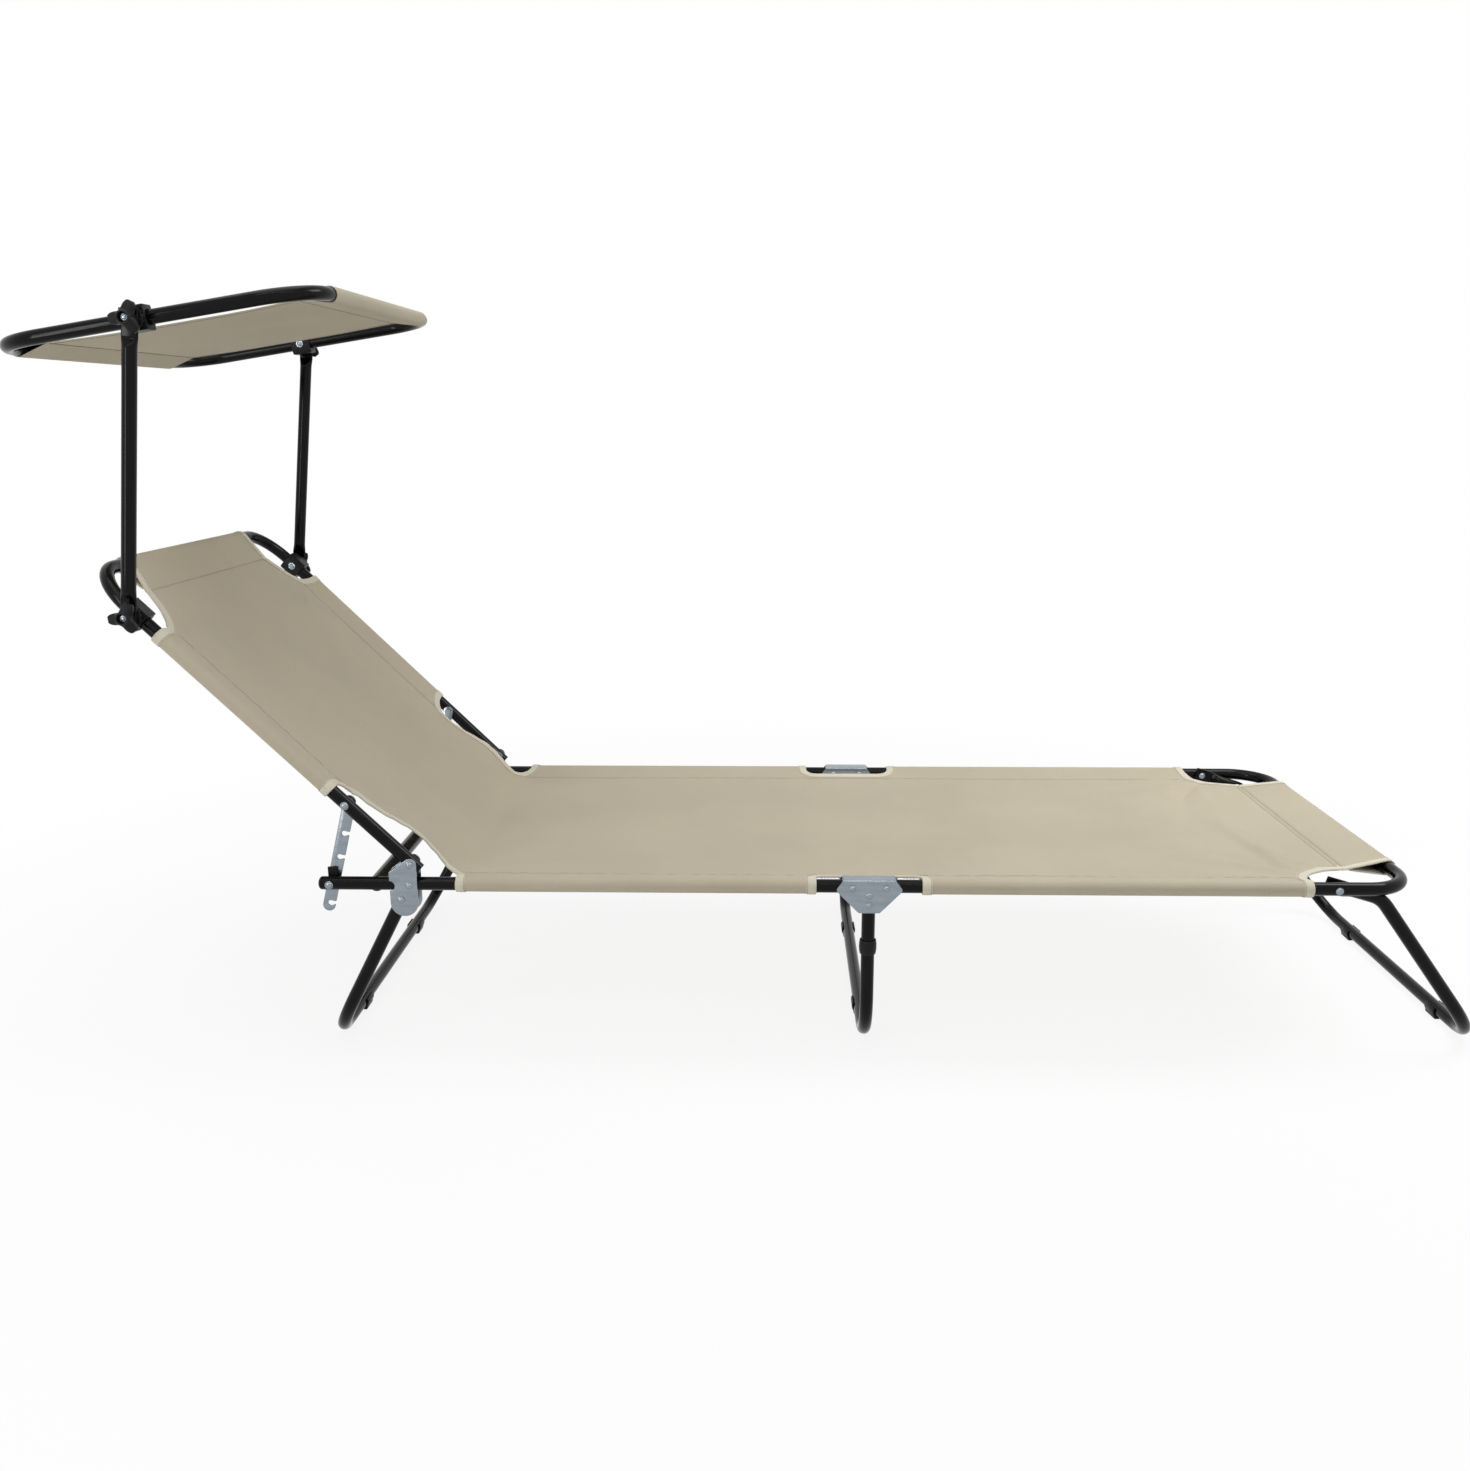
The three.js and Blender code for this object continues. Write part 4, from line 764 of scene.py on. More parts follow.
def channel_section():
    """Outer and inner line across the rail: up the outer side, round a bend, over, and down again."""
    line = [(OUTER, z) for z in np.linspace(CHANNEL_FOOT, 8.9, 20)]
    line += [(8.3 + 3 * math.cos(t), 8.9 + 3 * math.sin(t)) for t in np.linspace(0.2, math.pi / 2, 7)]
    line += [(y, CHANNEL_TOP) for y in np.linspace(6.5, -6.5, 8)]
    outer = line + [(-y, z) for y, z in line[:-8][::-1]]
    inner = [(y - math.copysign(SHEET, y), z) if z < 9 else (y * INNER / OUTER, z - SHEET) for y, z in outer]
    return outer, inner


def half_length(z):
    """Half the channel's length at a height: full beside the rails, narrowing above and below them."""
    if z >= 0:
        return 43 - 9 * z / CHANNEL_TOP
    return 43 if z >= -4 else 43 - 29 * (-4 - z) / 30


def folded_channel(name):
    points, faces = [], []
    for line in channel_section():
        for y, z in line:
            reach = half_length(z) - (0.6 if abs(z - CHANNEL_FOOT) < 0.1 else 0)
            across = MID + reach * np.linspace(-1, 1, COLUMNS + 1)
            points += [place(x, RAIL + y, SEAT + z) for x in across]
    wide = COLUMNS + 1
    layer = len(points) // 2
    rows = layer // wide
    for r in range(rows - 1):
        for c in range(COLUMNS):
            a = r * wide + c
            faces += [(a, a + 1, a + 1 + wide, a + wide),
                      (layer + a, layer + a + wide, layer + a + 1 + wide, layer + a + 1)]
    sides = [(r * wide + c, wide) for r in range(rows - 1) for c in (0, COLUMNS)]
    sides += [(r * wide + c, 1) for r in (0, rows - 1) for c in range(COLUMNS)]
    faces += [(a, a + step, layer + a + step, layer + a) for a, step in sides]
    return outward(mesh_object(name, points, faces, zinc, angle=40))


parts = [folded_channel("channel")] + [rivet("fixed", MID, SEAT - drop, -OUTER, OUTER) for drop in (10, 24)]
pair(merged("middle_channel_far", parts), "mid_stand", "zinc", "middle_bracket")

# %% [markdown]
# ## Notched strips
# A notched steel strip hangs from a rivet on the backrest, and one of its hooks rests on a pin in the rail,
# which sets the angle. The notches repeat at one pitch, so a short loop writes them into the outline.
# Cutting them with booleans would leave ragged edges where the rounded rim meets each cut.

# %%
# Notched strips
STRIP_RIVET = (-115 * SLOPE, PIVOT + 115 * SLOPE)       # x from the hinge, z above the rail
HOOK_PIN = -110.5                                       # the rail's pin, from the hinge
NOTCHES, NOTCH = 34, 3.7                                # pitch of the notches and their radius
strip_reach = math.hypot(STRIP_RIVET[0] - HOOK_PIN, STRIP_RIVET[1])
strip_lean = math.atan2(STRIP_RIVET[0] - HOOK_PIN, STRIP_RIVET[1])


def strip_outline(half=8.5, corner=1.4):
    """A hanging strip with four notches open to one side; the second from below holds the pin."""
    loop = arc(0, -strip_reach - NOTCHES - 12 + half, half, 180, 360, 20)
    for i in (1, 0, -1, -2):
        notch = -strip_reach - i * NOTCHES
        lip = notch - NOTCH
        if i == 1:      # the lowest lip ends in a small nose
            loop += [(half, lip + 2.4), (half - 0.8, lip + 2.9), (half - 2.2, lip + 2.6), (half - 4.8, lip)]
        else:
            loop += arc(half - corner, lip + corner, corner, 0, 90, 4)
        loop += arc(half - 10.5 + NOTCH, notch, NOTCH, -90, -270, 14)
        loop += arc(half - corner, notch + NOTCH + corner, corner, -90, 0, 4)
    return loop + arc(0, 0, half, 0, 180, 20)


strip = plate("steel_strip_far", [(x * MM, z * MM) for x, z in strip_outline()], -1, 1, zinc, 0.3)
strip.data.transform(Matrix.Rotation(strip_lean, 4, "Y"))
strip.data.transform(Matrix.Translation(place(STRIP_RIVET[0], RAIL - 13, SEAT + STRIP_RIVET[1])))
pair(strip, "strip_{side}", "zinc", "notched_strip")
print("the pin sits", round(strip_reach, 1), "mm down the strip")

# %% [markdown]
# ## Pins of the notched strips
# The pin in the rail that a notch rests on, and the stepped rivet on the backrest that the strip swings
# from, are both turned steel. Their steps hold the strip clear of the tube. Each is one profile, written as
# a turner's drawing would give it: radius and distance from the rail's middle, from the inner end outwards.

# %%
# Pins of the notched strips
def steel_pin(name, steps, x, z):
    """A pin along Y with those steps of (radius, distance), then a domed head outside the tube."""
    profile = [(r, RAIL + y) for r, y in steps] + [(SHANK, RAIL + INNER)]
    return turned(name, profile + dome(5.6, 3.0, RAIL + INNER), place(x, 0, z), zinc)


pair(steel_pin("hook_pin_far", [(TIP, -11.7), (SHANK, -11.7)], HOOK_PIN, SEAT), "rear_half", "zinc",
     "adjuster_pin")
steps = [(TIP, -16.7), (5.2, -16.4), (5.4, -14.3), (SHANK, -14.3), (SHANK, -11.7), (5.4, -11.7),
         (5.4, -INNER), (SHANK, -INNER)]
swing = steel_pin("swing_rivet_far", steps, STRIP_RIVET[0], SEAT + STRIP_RIVET[1])
pair(swing, "backrest", "zinc", "strip_rivet")

# %% [markdown]
# ## Foot clips
# Moulded clips snap round the ground bars and keep their paint off the floor. Each is one section from end
# to end: a flat foot that narrows upwards into two thin arms, open at the top so that it can snap on. It
# could be hollowed out of a block. As a plate like the brackets, only thicker, it keeps a clean outline,
# and one outline serves all three legs.

# %%
# Foot clips
CLIP = (131, 157)       # where a clip begins and ends, out from the middle of the lounger


def clip_outline(grip=9.3, arm=11.3, opening=28):
    """The clip's section about the bar: its inner and outer radius, and where the arms end, in degrees."""
    loop = [(-7.5, -GROUND)] + arc(7.0, -GROUND + 1.5, 1.5, -90, -20, 4) + arc(0, 0, arm, -35, opening, 14)
    loop += arc(0, 0, grip, opening, -180 - opening, 40) + arc(0, 0, arm, 180 - opening, 215, 14)
    return loop + arc(-7.0, -GROUND + 1.5, 1.5, 200, 265, 4)


for body, stem, x in (("rear_leg_body", "rear_foot", REAR_GROUND), ("mid_stand", "middle_foot", MID),
                      ("front_leg_body", "front_foot", FRONT_GROUND)):
    section = shifted(clip_outline(), place(x, 0, GROUND))
    clip = plate(f"{stem}_clip_far_body", section, *CLIP, plastic, 0.4)
    pair(clip, body, "plastic", stem, twin=f"{stem}_clip_near")

# %% [markdown]
# ## Collars and end plugs
# Split collars keep the middle uprights from knocking, and plugs close the open rail ends. A collar could
# be a ring cut open by a Boolean. Instead its section, with a rounded outer edge, is carried round the
# upright and simply stops short of a full turn, which leaves a clean slot on the inner side. The plug is a
# turned piece laid along the rail.

# %%
# Collars and end plugs
def collar(name):
    """A split collar round the upright, open on its inner side."""
    section = [(9.5, -10), (10.5, -10), (10.9, -9.5)]
    section += [(10.6 + 1.2 * math.cos(t), 8.6 * math.sin(t)) for t in np.linspace(-1.35, 1.35, 12)]
    section += [(10.9, 9.5), (10.5, 10), (9.5, 10)]
    slot = math.degrees(math.asin(6.5 / 11))        # half of its opening
    angles = [math.radians(slot - 90 + (360 - 2 * slot) * i / 48) for i in range(49)]
    points = [place(MID + r * math.cos(a), RAIL + r * math.sin(a), SEAT - 85 + z)
              for a in angles for r, z in section]
    n = len(section)
    faces = joined(angles, n, closed=False) + [tuple(range(n)), tuple(range(48 * n, 49 * n))]
    return outward(mesh_object(name, points, faces, plastic))


pair(collar("leg_collar_far"), "mid_stand", "plastic", "middle_bumper")
dish = [(TUBE * math.sin(t), -5 * math.cos(t)) for t in np.linspace(0.2, 1.5, 9)]
profile = [(TIP, -5)] + dish + [(TUBE, -0.3), (7.4, -0.3), (7.4, 7), (TIP, 7)]
plug = turned("end_plug_far", profile, (0, 0, 0), plastic)
plug.data.transform(Matrix.Rotation(-math.pi / 2, 4, "Z"))
plug.data.transform(Matrix.Translation(place(STUB, RAIL, SEAT)))
pair(plug, "rear_half", "plastic", "rail_cap")

# %% [markdown]
# ## Canopy clamps
# At each end of an arm a moulded clamp holds the tube, and a toothed disc on it keeps the arm from
# slipping. The clamp's block has a bore, so its outline and its hole are filled together by a 2D curve,
# which gives both their rounded rims in one go. A Boolean could drill it, but would leave the bore's rim
# sharp. The disc is a plate whose outline waves in and out. Both are made about their own bolt, so that
# they can be leaned and moved there like the bolt and the knob of the next step.

# %%
# Canopy clamps
DISC, TEETH = 14.3, 15      # the toothed disc's mean radius and how many teeth it has


def pierced(name, outline, hole, half, material, rim):
    """A block with a bore: outline and hole in X and Z in mm, half its depth in Y, rims rounded by rim."""
    curve = bpy.data.curves.new(name, "CURVE")
    curve.dimensions, curve.fill_mode = "2D", "BOTH"
    for loop in (outline, hole):
        spline = curve.splines.new("POLY")
        spline.points.add(len(loop) - 1)
        for point, (x, z) in zip(spline.points, loop):
            point.co = (x * MM, z * MM, 0, 1)
        spline.use_cyclic_u = True
    curve.extrude = (half - rim) * MM
    curve.bevel_depth, curve.offset = rim * MM, -rim * MM
    curve.bevel_resolution = 2
    shape = in_scene(name, curve)
    bpy.context.view_layer.update()
    mesh = bpy.data.meshes.new_from_object(shape.evaluated_get(bpy.context.evaluated_depsgraph_get()))
    bpy.data.objects.remove(shape, do_unlink=True)
    mesh.transform(Matrix.Rotation(math.pi / 2, 4, "X"))
    mesh.materials.clear()
    mesh.materials.append(material)
    piece = outward(in_scene(name, mesh), weld=True)
    shaded(mesh, 35)
    return piece


def put(piece, lean, bolt):
    """Lean a piece made about its bolt, then move it there."""
    piece.data.transform(Matrix.Translation((bolt.x, 0, bolt.z)) @ Matrix.Rotation(lean, 4, "Y"))
    return piece


def clamp(name):
    block = [(-12, -7.5), (-9, -15), (12.2, -15), (13, -14.2), (13, 14.2), (12.2, 15), (-9, 15), (-12, 7.5)]
    bore = arc(0, 0, INNER, 360, 0, 48)[:-1]
    body = pierced("clamp_body", block, bore, 15, plastic, 0.8)
    body.data.transform(Matrix.Translation((0, RAIL * MM, 0)) @ Matrix.Rotation(math.pi / 2, 4, "Z"))
    rim = []
    for i in range(4 * TEETH):
        t = 2 * math.pi * i / (4 * TEETH)
        reach = (DISC + 0.7 * math.cos(TEETH * t)) * MM
        rim.append((reach * math.cos(t), reach * math.sin(t)))
    return merged(name, [body, plate("clamp_disc", rim, RAIL + 12.6, RAIL + 18.4, plastic, 0.5)])


print("the disc's teeth are", round(2 * math.pi * DISC / TEETH, 1), "mm apart")

# %% [markdown]
# ## Bolts and knobs
# A bolt runs through each clamp and arm, and a knob with three lobes presses them together by hand. The
# lobes could be sculpted, but one formula for the reach at each angle gives three even ones, which can be
# made blunter or deeper with a single number. Rows of that outline, drawn in towards the round boss and the
# hub, are joined into one closed skin.

# %%
# Bolts and knobs
KNOB_POINTS = 144
BOSS = ((5.8, 33.6), (6.1, 34.0), (6.1, 38.7), (6.5, 39.4), (7.6, 39.5), (8.2, 39.1), (8.8, 38.2))
LOBES = ((0.12, 37.7), (0.5, 36.2), (0.85, 34.8), (0.95, 34.2), (1.0, 33.1), (1.0, 29.6), (0.97, 28.8),
         (0.9, 28.5), (0.2, 28.5))
HUB = ((9.0, 28.3), (9.0, 23.4), (8.6, 23.0), (3.3, 23.0), (3.3, 33.6))


def lobe_reach(angle):
    """Outline of the knob in mm: three lobes with flat tips and hollow sides between them."""
    third = 2 * math.pi / 3
    off = (angle + third / 2) % third - third / 2
    return min(9.9 + 12.1 * abs(math.cos(1.5 * off)) ** 2.6, 20.5 / math.cos(off))


def knob(name):
    """Rows of (radius, height) for boss and hub; between them the radius is a share of the lobes' reach."""
    rows = [*BOSS, *LOBES, *HUB]
    points = []
    for number, (r, y) in enumerate(rows):
        lobed = len(BOSS) <= number < len(BOSS) + len(LOBES)
        for k in range(KNOB_POINTS):
            a = 2 * math.pi * k / KNOB_POINTS
            reach = (8.8 + (lobe_reach(a) - 8.8) * r if lobed else r) * MM
            points.append((reach * math.cos(a), (RAIL + y) * MM, reach * math.sin(a)))
    return outward(mesh_object(name, points, joined(rows, KNOB_POINTS), plastic, angle=32))


def bolt(name):
    head = [(r, -y) for r, y in dome(5.6, 3.2, -RAIL + 12.3)][::-1]
    thread_end = [(SHANK, RAIL + 34.6)] + dome(3.9, 2.0, RAIL + 34.6)
    return turned(name, head + [(SHANK, RAIL - 12.3)] + thread_end, (0, 0, 0), zinc)


KNOB_TURN = math.radians(-65)
for word, level, bolt_at, lean, body in (("lower", "low", LOW, math.radians(45), "backrest"),
                                         ("upper", "up", TOP, -TILT, "canopy")):
    pair(put(clamp(f"{word}_tube_clamp_far"), lean, bolt_at), body, "plastic", f"{word}_clamp")
    pair(put(bolt(f"{word}_clamp_bolt_far"), 0, bolt_at), "canopy_arms", "zinc", f"{word}_bolt")
    star = put(knob(f"{word}_star_far"), KNOB_TURN, bolt_at)
    pair(star, "knob_" + level + "_{side}", "plastic", f"{word}_knob")
print("a lobe reaches", round(lobe_reach(0), 1), "mm, a hollow", round(lobe_reach(math.pi / 3), 1), "mm")

# %% [markdown]
# ## The sling's path
# The cover is one long cloth: sleeves along its sides go round the rails, and pockets at its ends go round
# the end bars. Cloth could be simulated, but a taut sling hardly moves and a simulation may come out
# otherwise the next time. So the whole cover is one map, from a distance s along it and u across it to a
# place in space, and its flat size can be read straight from the map. First comes its path from head to
# foot.

# %%
# The sling's path from head to foot, in mm from the rail below the hinge
LIFT = 1.0      # the cloth's middle above the tubes' middle, where it is sewn
HEAD_SEAM, FOOT_SEAM = 501, 1265.0


def up_back(along):
    """(x, z) of the cloth that many mm up the backrest."""
    return (-along + LIFT) * SLOPE, PIVOT + (along + LIFT) * SLOPE


def path_points(corners, radii):
    """Dense places along straight runs joined by round bends, as an array of (x, z)."""
    route = bent([Vector((x, 0, z)) for x, z in corners], radii, 60)
    out = []
    for (a, _), (b, _) in zip(route, route[1:]):
        n = max(1, int((b - a).length / 2))
        out += [(a + (b - a) * i / n) for i in range(n)]
    return np.array([(p.x, p.z) for p in [*out, route[-1][0]]])


track = path_points([up_back(HEAD_SEAM), up_back(108), (44.5, LIFT), (FOOT_SEAM, LIFT)], [260, 42])
track_s = np.concatenate([[0], np.cumsum(np.hypot(*np.diff(track, axis=0).T))])
LENGTH = track_s[-1]
path_s = np.arange(0, LENGTH, 1.0)
path = np.stack([np.interp(path_s, track_s, track[:, axis]) for axis in (0, 1)])
path_heading = np.gradient(path, axis=1)
path_heading /= np.hypot(*path_heading)


def s_of_back(along):
    """s where the cover passes that many mm up the backrest."""
    return HEAD_SEAM - along


def s_of_seat(x):
    """s where the cover passes x on the seat."""
    return LENGTH - (FOOT_SEAM - x)


print("the path is", round(LENGTH), "mm long between its end seams")

# %% [markdown]
# ## Sleeves and pockets
# A sleeve is cloth that leaves its seam, goes once round a tube and comes back to the seam from below. It
# could be a second tube round the first, but then the weave would break at the seam. Here it is one line:
# straight to the tube, round it, and straight back, with its own length, which is added to the flat size of
# the cloth.

# %%
# Sleeves and pockets
SEAM = 243.0        # the side seams, out from the middle of the lounger
SHELL = 10.6        # radius of the cloth's outer face round a tube


def wrap(reach, count=28):
    """A loop from a seam at reach before a bar, round it and back, as places (outward, up) and lengths."""
    distance = math.hypot(reach, LIFT)
    spread = math.acos(SHELL / distance)
    start = math.atan2(LIFT, -reach) - spread
    sweep_angle = 2 * math.pi - 2 * spread
    angles = [start - sweep_angle * i / count for i in range(count + 1)]
    round_bar = [(SHELL * math.cos(a), SHELL * math.sin(a)) for a in angles]
    line = np.array([(-reach, LIFT), *round_bar, (-reach, LIFT - 1.4)])
    return line, np.concatenate([[0], np.cumsum(np.hypot(*np.diff(line, axis=0).T))])


side_line, side_length = wrap(RAIL - SEAM)
head_line, head_length = wrap(HEAD_BAR - HEAD_SEAM)
foot_line, foot_length = wrap(FOOT - FOOT_SEAM)
REACH, HEAD_POCKET, FOOT_POCKET = side_length[-1], head_length[-1], foot_length[-1]
print("sling", round(LENGTH + HEAD_POCKET + FOOT_POCKET), "by", round(2 * (SEAM + REACH)), "mm")

# %% [markdown]
# ## Folds
# Stretched cloth isn't flat. Soft folds run inwards from the ends of its cut-outs, where the pull changes
# direction. Sculpting them would have to be done again after each change of size. Here each fold is one row
# of a table, which becomes a small height that is added to the cloth, so it stays where the cloth needs it.

# %%
# Folds, each with its start (s, |u|), direction in radians, length, width and height
FOLDS = ((66, 232, -0.9, 150, 9, 2.4), (52, 226, -0.35, 120, 8, -2.0), (370, 226, -0.25, 130, 10, 2.2),
         (470, 224, -2.6, 110, 9, 2.0), (560, 226, -0.35, 170, 11, -2.2),
         (s_of_seat(MID - 71), 244, -2.3, 120, 8, 2.6), (s_of_seat(MID - 60), 244, -1.9, 90, 7, -1.9),
         (s_of_seat(MID + 71), 244, -0.85, 130, 8, 2.8), (s_of_seat(MID + 58), 244, -1.2, 80, 7, -1.9),
         (s_of_seat(1190), 225, -2.62, 210, 12, 5.6), (s_of_seat(1204), 222, -2.35, 170, 9, -4.2),
         (s_of_seat(1228), 208, -1.9, 130, 9, 3.6), (s_of_seat(1150), 236, -2.9, 230, 13, 3.2),
         (s_of_seat(1192), 214, -1.68, 300, 11, 5.4), (s_of_seat(1170), 205, -1.76, 250, 12, -4.2))


def folds(s, y):
    """Their height at each place: a soft ridge that rises from its start, widens and dies out."""
    out = np.zeros(np.shape(s))
    for number, (s0, y0, angle, length, width, height) in enumerate(FOLDS):
        for side in (-1, 1):
            lean = angle + 0.13 * side * math.sin(7.0 * number)
            ds, dy = s - s0, side * y - y0
            along = ds * math.cos(lean) + dy * math.sin(lean)
            off = -ds * math.sin(lean) + dy * math.cos(lean)
            t = np.clip(along / length, 0, 1)
            ridge = np.sin(math.pi * t ** 0.6) * np.exp(-(off / (width * (0.6 + t))) ** 2)
            out += height * (0.8 + 0.3 * math.cos(3.0 * number + side)) * ridge
    return out


samples = np.meshgrid(np.arange(0, LENGTH, 5), np.arange(0, SEAM, 5))
print("highest fold", round(float(folds(*samples).max()), 1), "mm")

# %% [markdown]
# ## Sag, waves and seams
# The rest of the cloth's relief is calmer. It sags a few millimetres below the rails, carries long faint
# waves, and is drawn in where thread pulls it down. A noise texture would give bumps without a cause, so
# each of these is a formula of its own, strongest where the real cloth shows it and gone where the cloth is
# held.

# %%
# Sag, waves and seams
SAG, BULGE = 7.0, 11.0      # how far the middle hangs, and the free edges beside the hinge stand off
HEAD_ROW, FOOT_ROWS, SIDE_ROW = 2.4, (2.4, 9.6), 2.4        # rows of thread, in from their seams


def dip(s, y):
    """How far the cloth sags below its edges: most in the middle of the seat, none at the end seams."""
    share = np.clip(1 - (y / SEAM) ** 2, 0, 1)
    ends = np.clip(s / 160, 0, 1) * np.clip((LENGTH - s) / 160, 0, 1)
    return SAG * share * ends * ends * (3 - 2 * ends)


def ripple(s, y):
    """Small puckers along the seams, a few long soft waves from head to foot, and the folds."""
    near = np.exp(-np.abs(np.abs(y) - SEAM) / 14)
    pucker = 0.55 * near * (np.sin(s / 4.6 + 1.7 * np.sin(s / 37)) + 0.5 * np.sin(s / 2.9 + y / 30))
    wave = 1.1 * np.sin(y / 31 + 1.9 * np.sin(s / 210) + 0.6) * np.sin(s / 143 + 0.8)
    wave += 0.45 * np.sin(s / 61 + y / 74 + 2.0) * np.exp(-((np.abs(y) - 190) / 60) ** 2)
    return np.where(np.abs(y) < SEAM, pucker + wave + folds(s, y), 0.0)


def relief(s, y):
    """Stitched seams draw the cloth in; the foot seam has a raised band between its two rows."""
    out = -1.0 * np.exp(-((np.abs(y) - SEAM + SIDE_ROW) / 1.5) ** 2)
    out = out - 1.0 * np.exp(-((s - HEAD_ROW) / 1.4) ** 2)
    out = out + 0.9 * np.exp(-((s - LENGTH + sum(FOOT_ROWS) / 2) / 3.0) ** 2)
    for row in FOOT_ROWS:
        out = out - 1.2 * np.exp(-((s - LENGTH + row) / 1.4) ** 2)
    return out


def bulge(s, y):
    """The free edges beside the hinge stand off the straight line between backrest and seat."""
    along = np.exp(-((s - s_of_back(20)) / 46) ** 2)
    return BULGE * along * np.clip(np.abs(y) / 236, 0, 1.1) ** 3


print("deepest sag", round(float(dip(LENGTH / 2, 0)), 1), "mm, bulge at the hinge's edge",
      round(float(bulge(s_of_back(20), 236)), 1), "mm")

# %% [markdown]
# ## The sling's map
# Now path, sleeves and relief are put together in one function. On the flat middle a place is the path's
# own, moved along its normal by the relief. Past a side seam it follows the sleeve's line round the rail,
# and past an end seam the pocket's line round the bar. Everything on the cloth, tape and thread too, goes
# through this one map, so all of it fits together.

# %%
# The sling's map
def sling(s, u, lift=0.0):
    """Places for arrays s and u, in mm from the rail below the hinge; lift is along the path's normal."""
    s, u = np.broadcast_arrays(np.asarray(s, float), np.asarray(u, float))
    flat = np.abs(u) <= SEAM
    over = np.clip(np.abs(u) - SEAM, 0, REACH)
    across, above = (np.interp(over, side_length, side_line[:, axis]) for axis in (0, 1))
    y = np.where(flat, u, np.sign(u) * (RAIL + across))
    soft = ripple(s, y) * np.clip(s / 30, 0, 1) * np.clip((LENGTH - s) / 30, 0, 1)
    n = np.where(flat, soft + relief(s, y) - dip(s, y), above - LIFT) + bulge(s, y) + lift
    inside = np.clip(s, 0, LENGTH - 1)
    middle_x, middle_z = (np.interp(inside, path_s, line) for line in path)
    heading_x, heading_z = (np.interp(inside, path_s, line) for line in path_heading)
    x, z = middle_x - heading_z * n, middle_z + heading_x * n
    on_head, on_foot = s < 0, s > LENGTH
    out, up = (np.interp(-s, head_length, head_line[:, axis]) for axis in (0, 1))
    up = up + lift
    head_x, head_z = (-HEAD_BAR - out + up) * SLOPE, PIVOT + (HEAD_BAR + out + up) * SLOPE
    x, z = np.where(on_head, head_x, x), np.where(on_head, head_z, z)
    out, up = (np.interp(s - LENGTH, foot_length, foot_line[:, axis]) for axis in (0, 1))
    x, z = np.where(on_foot, FOOT + out, x), np.where(on_foot, up + lift, z)
    return np.stack([x, np.where(on_head | on_foot, u, y), z], axis=-1)


def to_frame(places):
    """The same places as metres in the model's frame."""
    return np.array(places, float) * MM + (HINGE.x, 0, SEAT * MM)


print("the middle of the seat is at", to_frame(sling(s_of_seat(600), 0)).round(3))

# %% [markdown]
# ## Cut-outs
# The sleeves are cut away at the head's corners, at the hinge, at the middle brackets and at the foot's
# corners, where hardware has to reach the rail. Each opening is drawn on the flat cloth, as a tailor would,
# and cells of the grid inside it are dropped. Points beside the edge move on to the outline, which gives a
# smooth edge without a boolean.

# %%
# Cut-outs, as open outlines in (s, |u|); cloth is left out above them
def opening(radius, *points, count=8):
    """An outline whose two ends run off the cloth's side, with its corners rounded."""
    out = [points[0]]
    for before, corner, after in zip(points, points[1:], points[2:]):
        a, b = np.array(before, float) - corner, np.array(after, float) - corner
        la, lb = np.hypot(*a), np.hypot(*b)
        r = min(radius, la * 0.5, lb * 0.5)
        for t in np.arange(count + 1) / count:
            out.append(tuple(corner + a / la * r * (1 - t) ** 2 + b / lb * r * t ** 2))
    return np.array([*out, points[-1]])


OFF = SEAM + REACH + 20         # past the sleeve's own edge
HEAD_END, FOOT_END = -HEAD_POCKET, LENGTH + FOOT_POCKET
HEAD_HALF, FOOT_HALF = HEAD_END / 2, LENGTH + FOOT_POCKET / 2       # where the pockets turn round their bars
head_cut = opening(18, (HEAD_END - 30, 206), (HEAD_END, 206), (HEAD_HALF - 8, 195), (HEAD_HALF + 8, 195),
                   (0, 206), (36, 221), (58, 240), (66, 262), (66, OFF))
hinge_cut = opening(26, (s_of_back(142), OFF), (s_of_back(142), 262), (s_of_back(118), 236),
                    (s_of_seat(30), 234), (s_of_seat(60), 262), (s_of_seat(60), OFF))
middle_cut = opening(20, (s_of_seat(MID - 71), OFF), (s_of_seat(MID - 71), 255), (s_of_seat(MID + 71), 255),
                     (s_of_seat(MID + 71), OFF))
foot_cut = opening(20, (FOOT_END + 30, 206), (FOOT_END, 206), (FOOT_HALF + 8, 195), (FOOT_HALF - 8, 195),
                   (LENGTH, 206), (LENGTH - 32, 212), (LENGTH - 62, 228), (s_of_seat(1188), 262),
                   (s_of_seat(1188), OFF))
CUTS = [head_cut, hinge_cut, middle_cut, foot_cut]


def nearest(outline, s, u):
    """Nearest place on an outline and its distance, for one point."""
    a, b = outline[:-1], outline[1:]
    d = b - a
    t = np.clip(((s - a[:, 0]) * d[:, 0] + (u - a[:, 1]) * d[:, 1]) / np.maximum((d ** 2).sum(1), 1e-9), 0, 1)
    near = a + d * t[:, None]
    away = np.hypot(near[:, 0] - s, near[:, 1] - u)
    i = int(np.argmin(away))
    return near[i], away[i]


def is_cut(s, u):
    """True where there's no cloth: between an outline's two ends, above it."""
    out = np.zeros(np.shape(s), bool)
    for outline in CUTS:
        along, edge = outline[np.argsort(outline[:, 0], kind="stable")].T
        out |= (s > along[0]) & (s < along[-1]) & (u > np.interp(s, along, edge))
    return out


for name, outline in zip(("head", "hinge", "middle", "foot"), CUTS):
    print(name, "opening", np.ptp(outline[:, 0]).round(), "mm long, in to", outline[:, 1].min().round())

# %% [markdown]
# ## The sling's grid
# A grid of rows and columns is laid over the flat cloth, closer together at the seams and pockets, where it
# bends most, and wide in the calm middle. An even grid would need many times the points for the same seams.
# Cells inside the openings are dropped, and the points along each edge are drawn on to its outline.

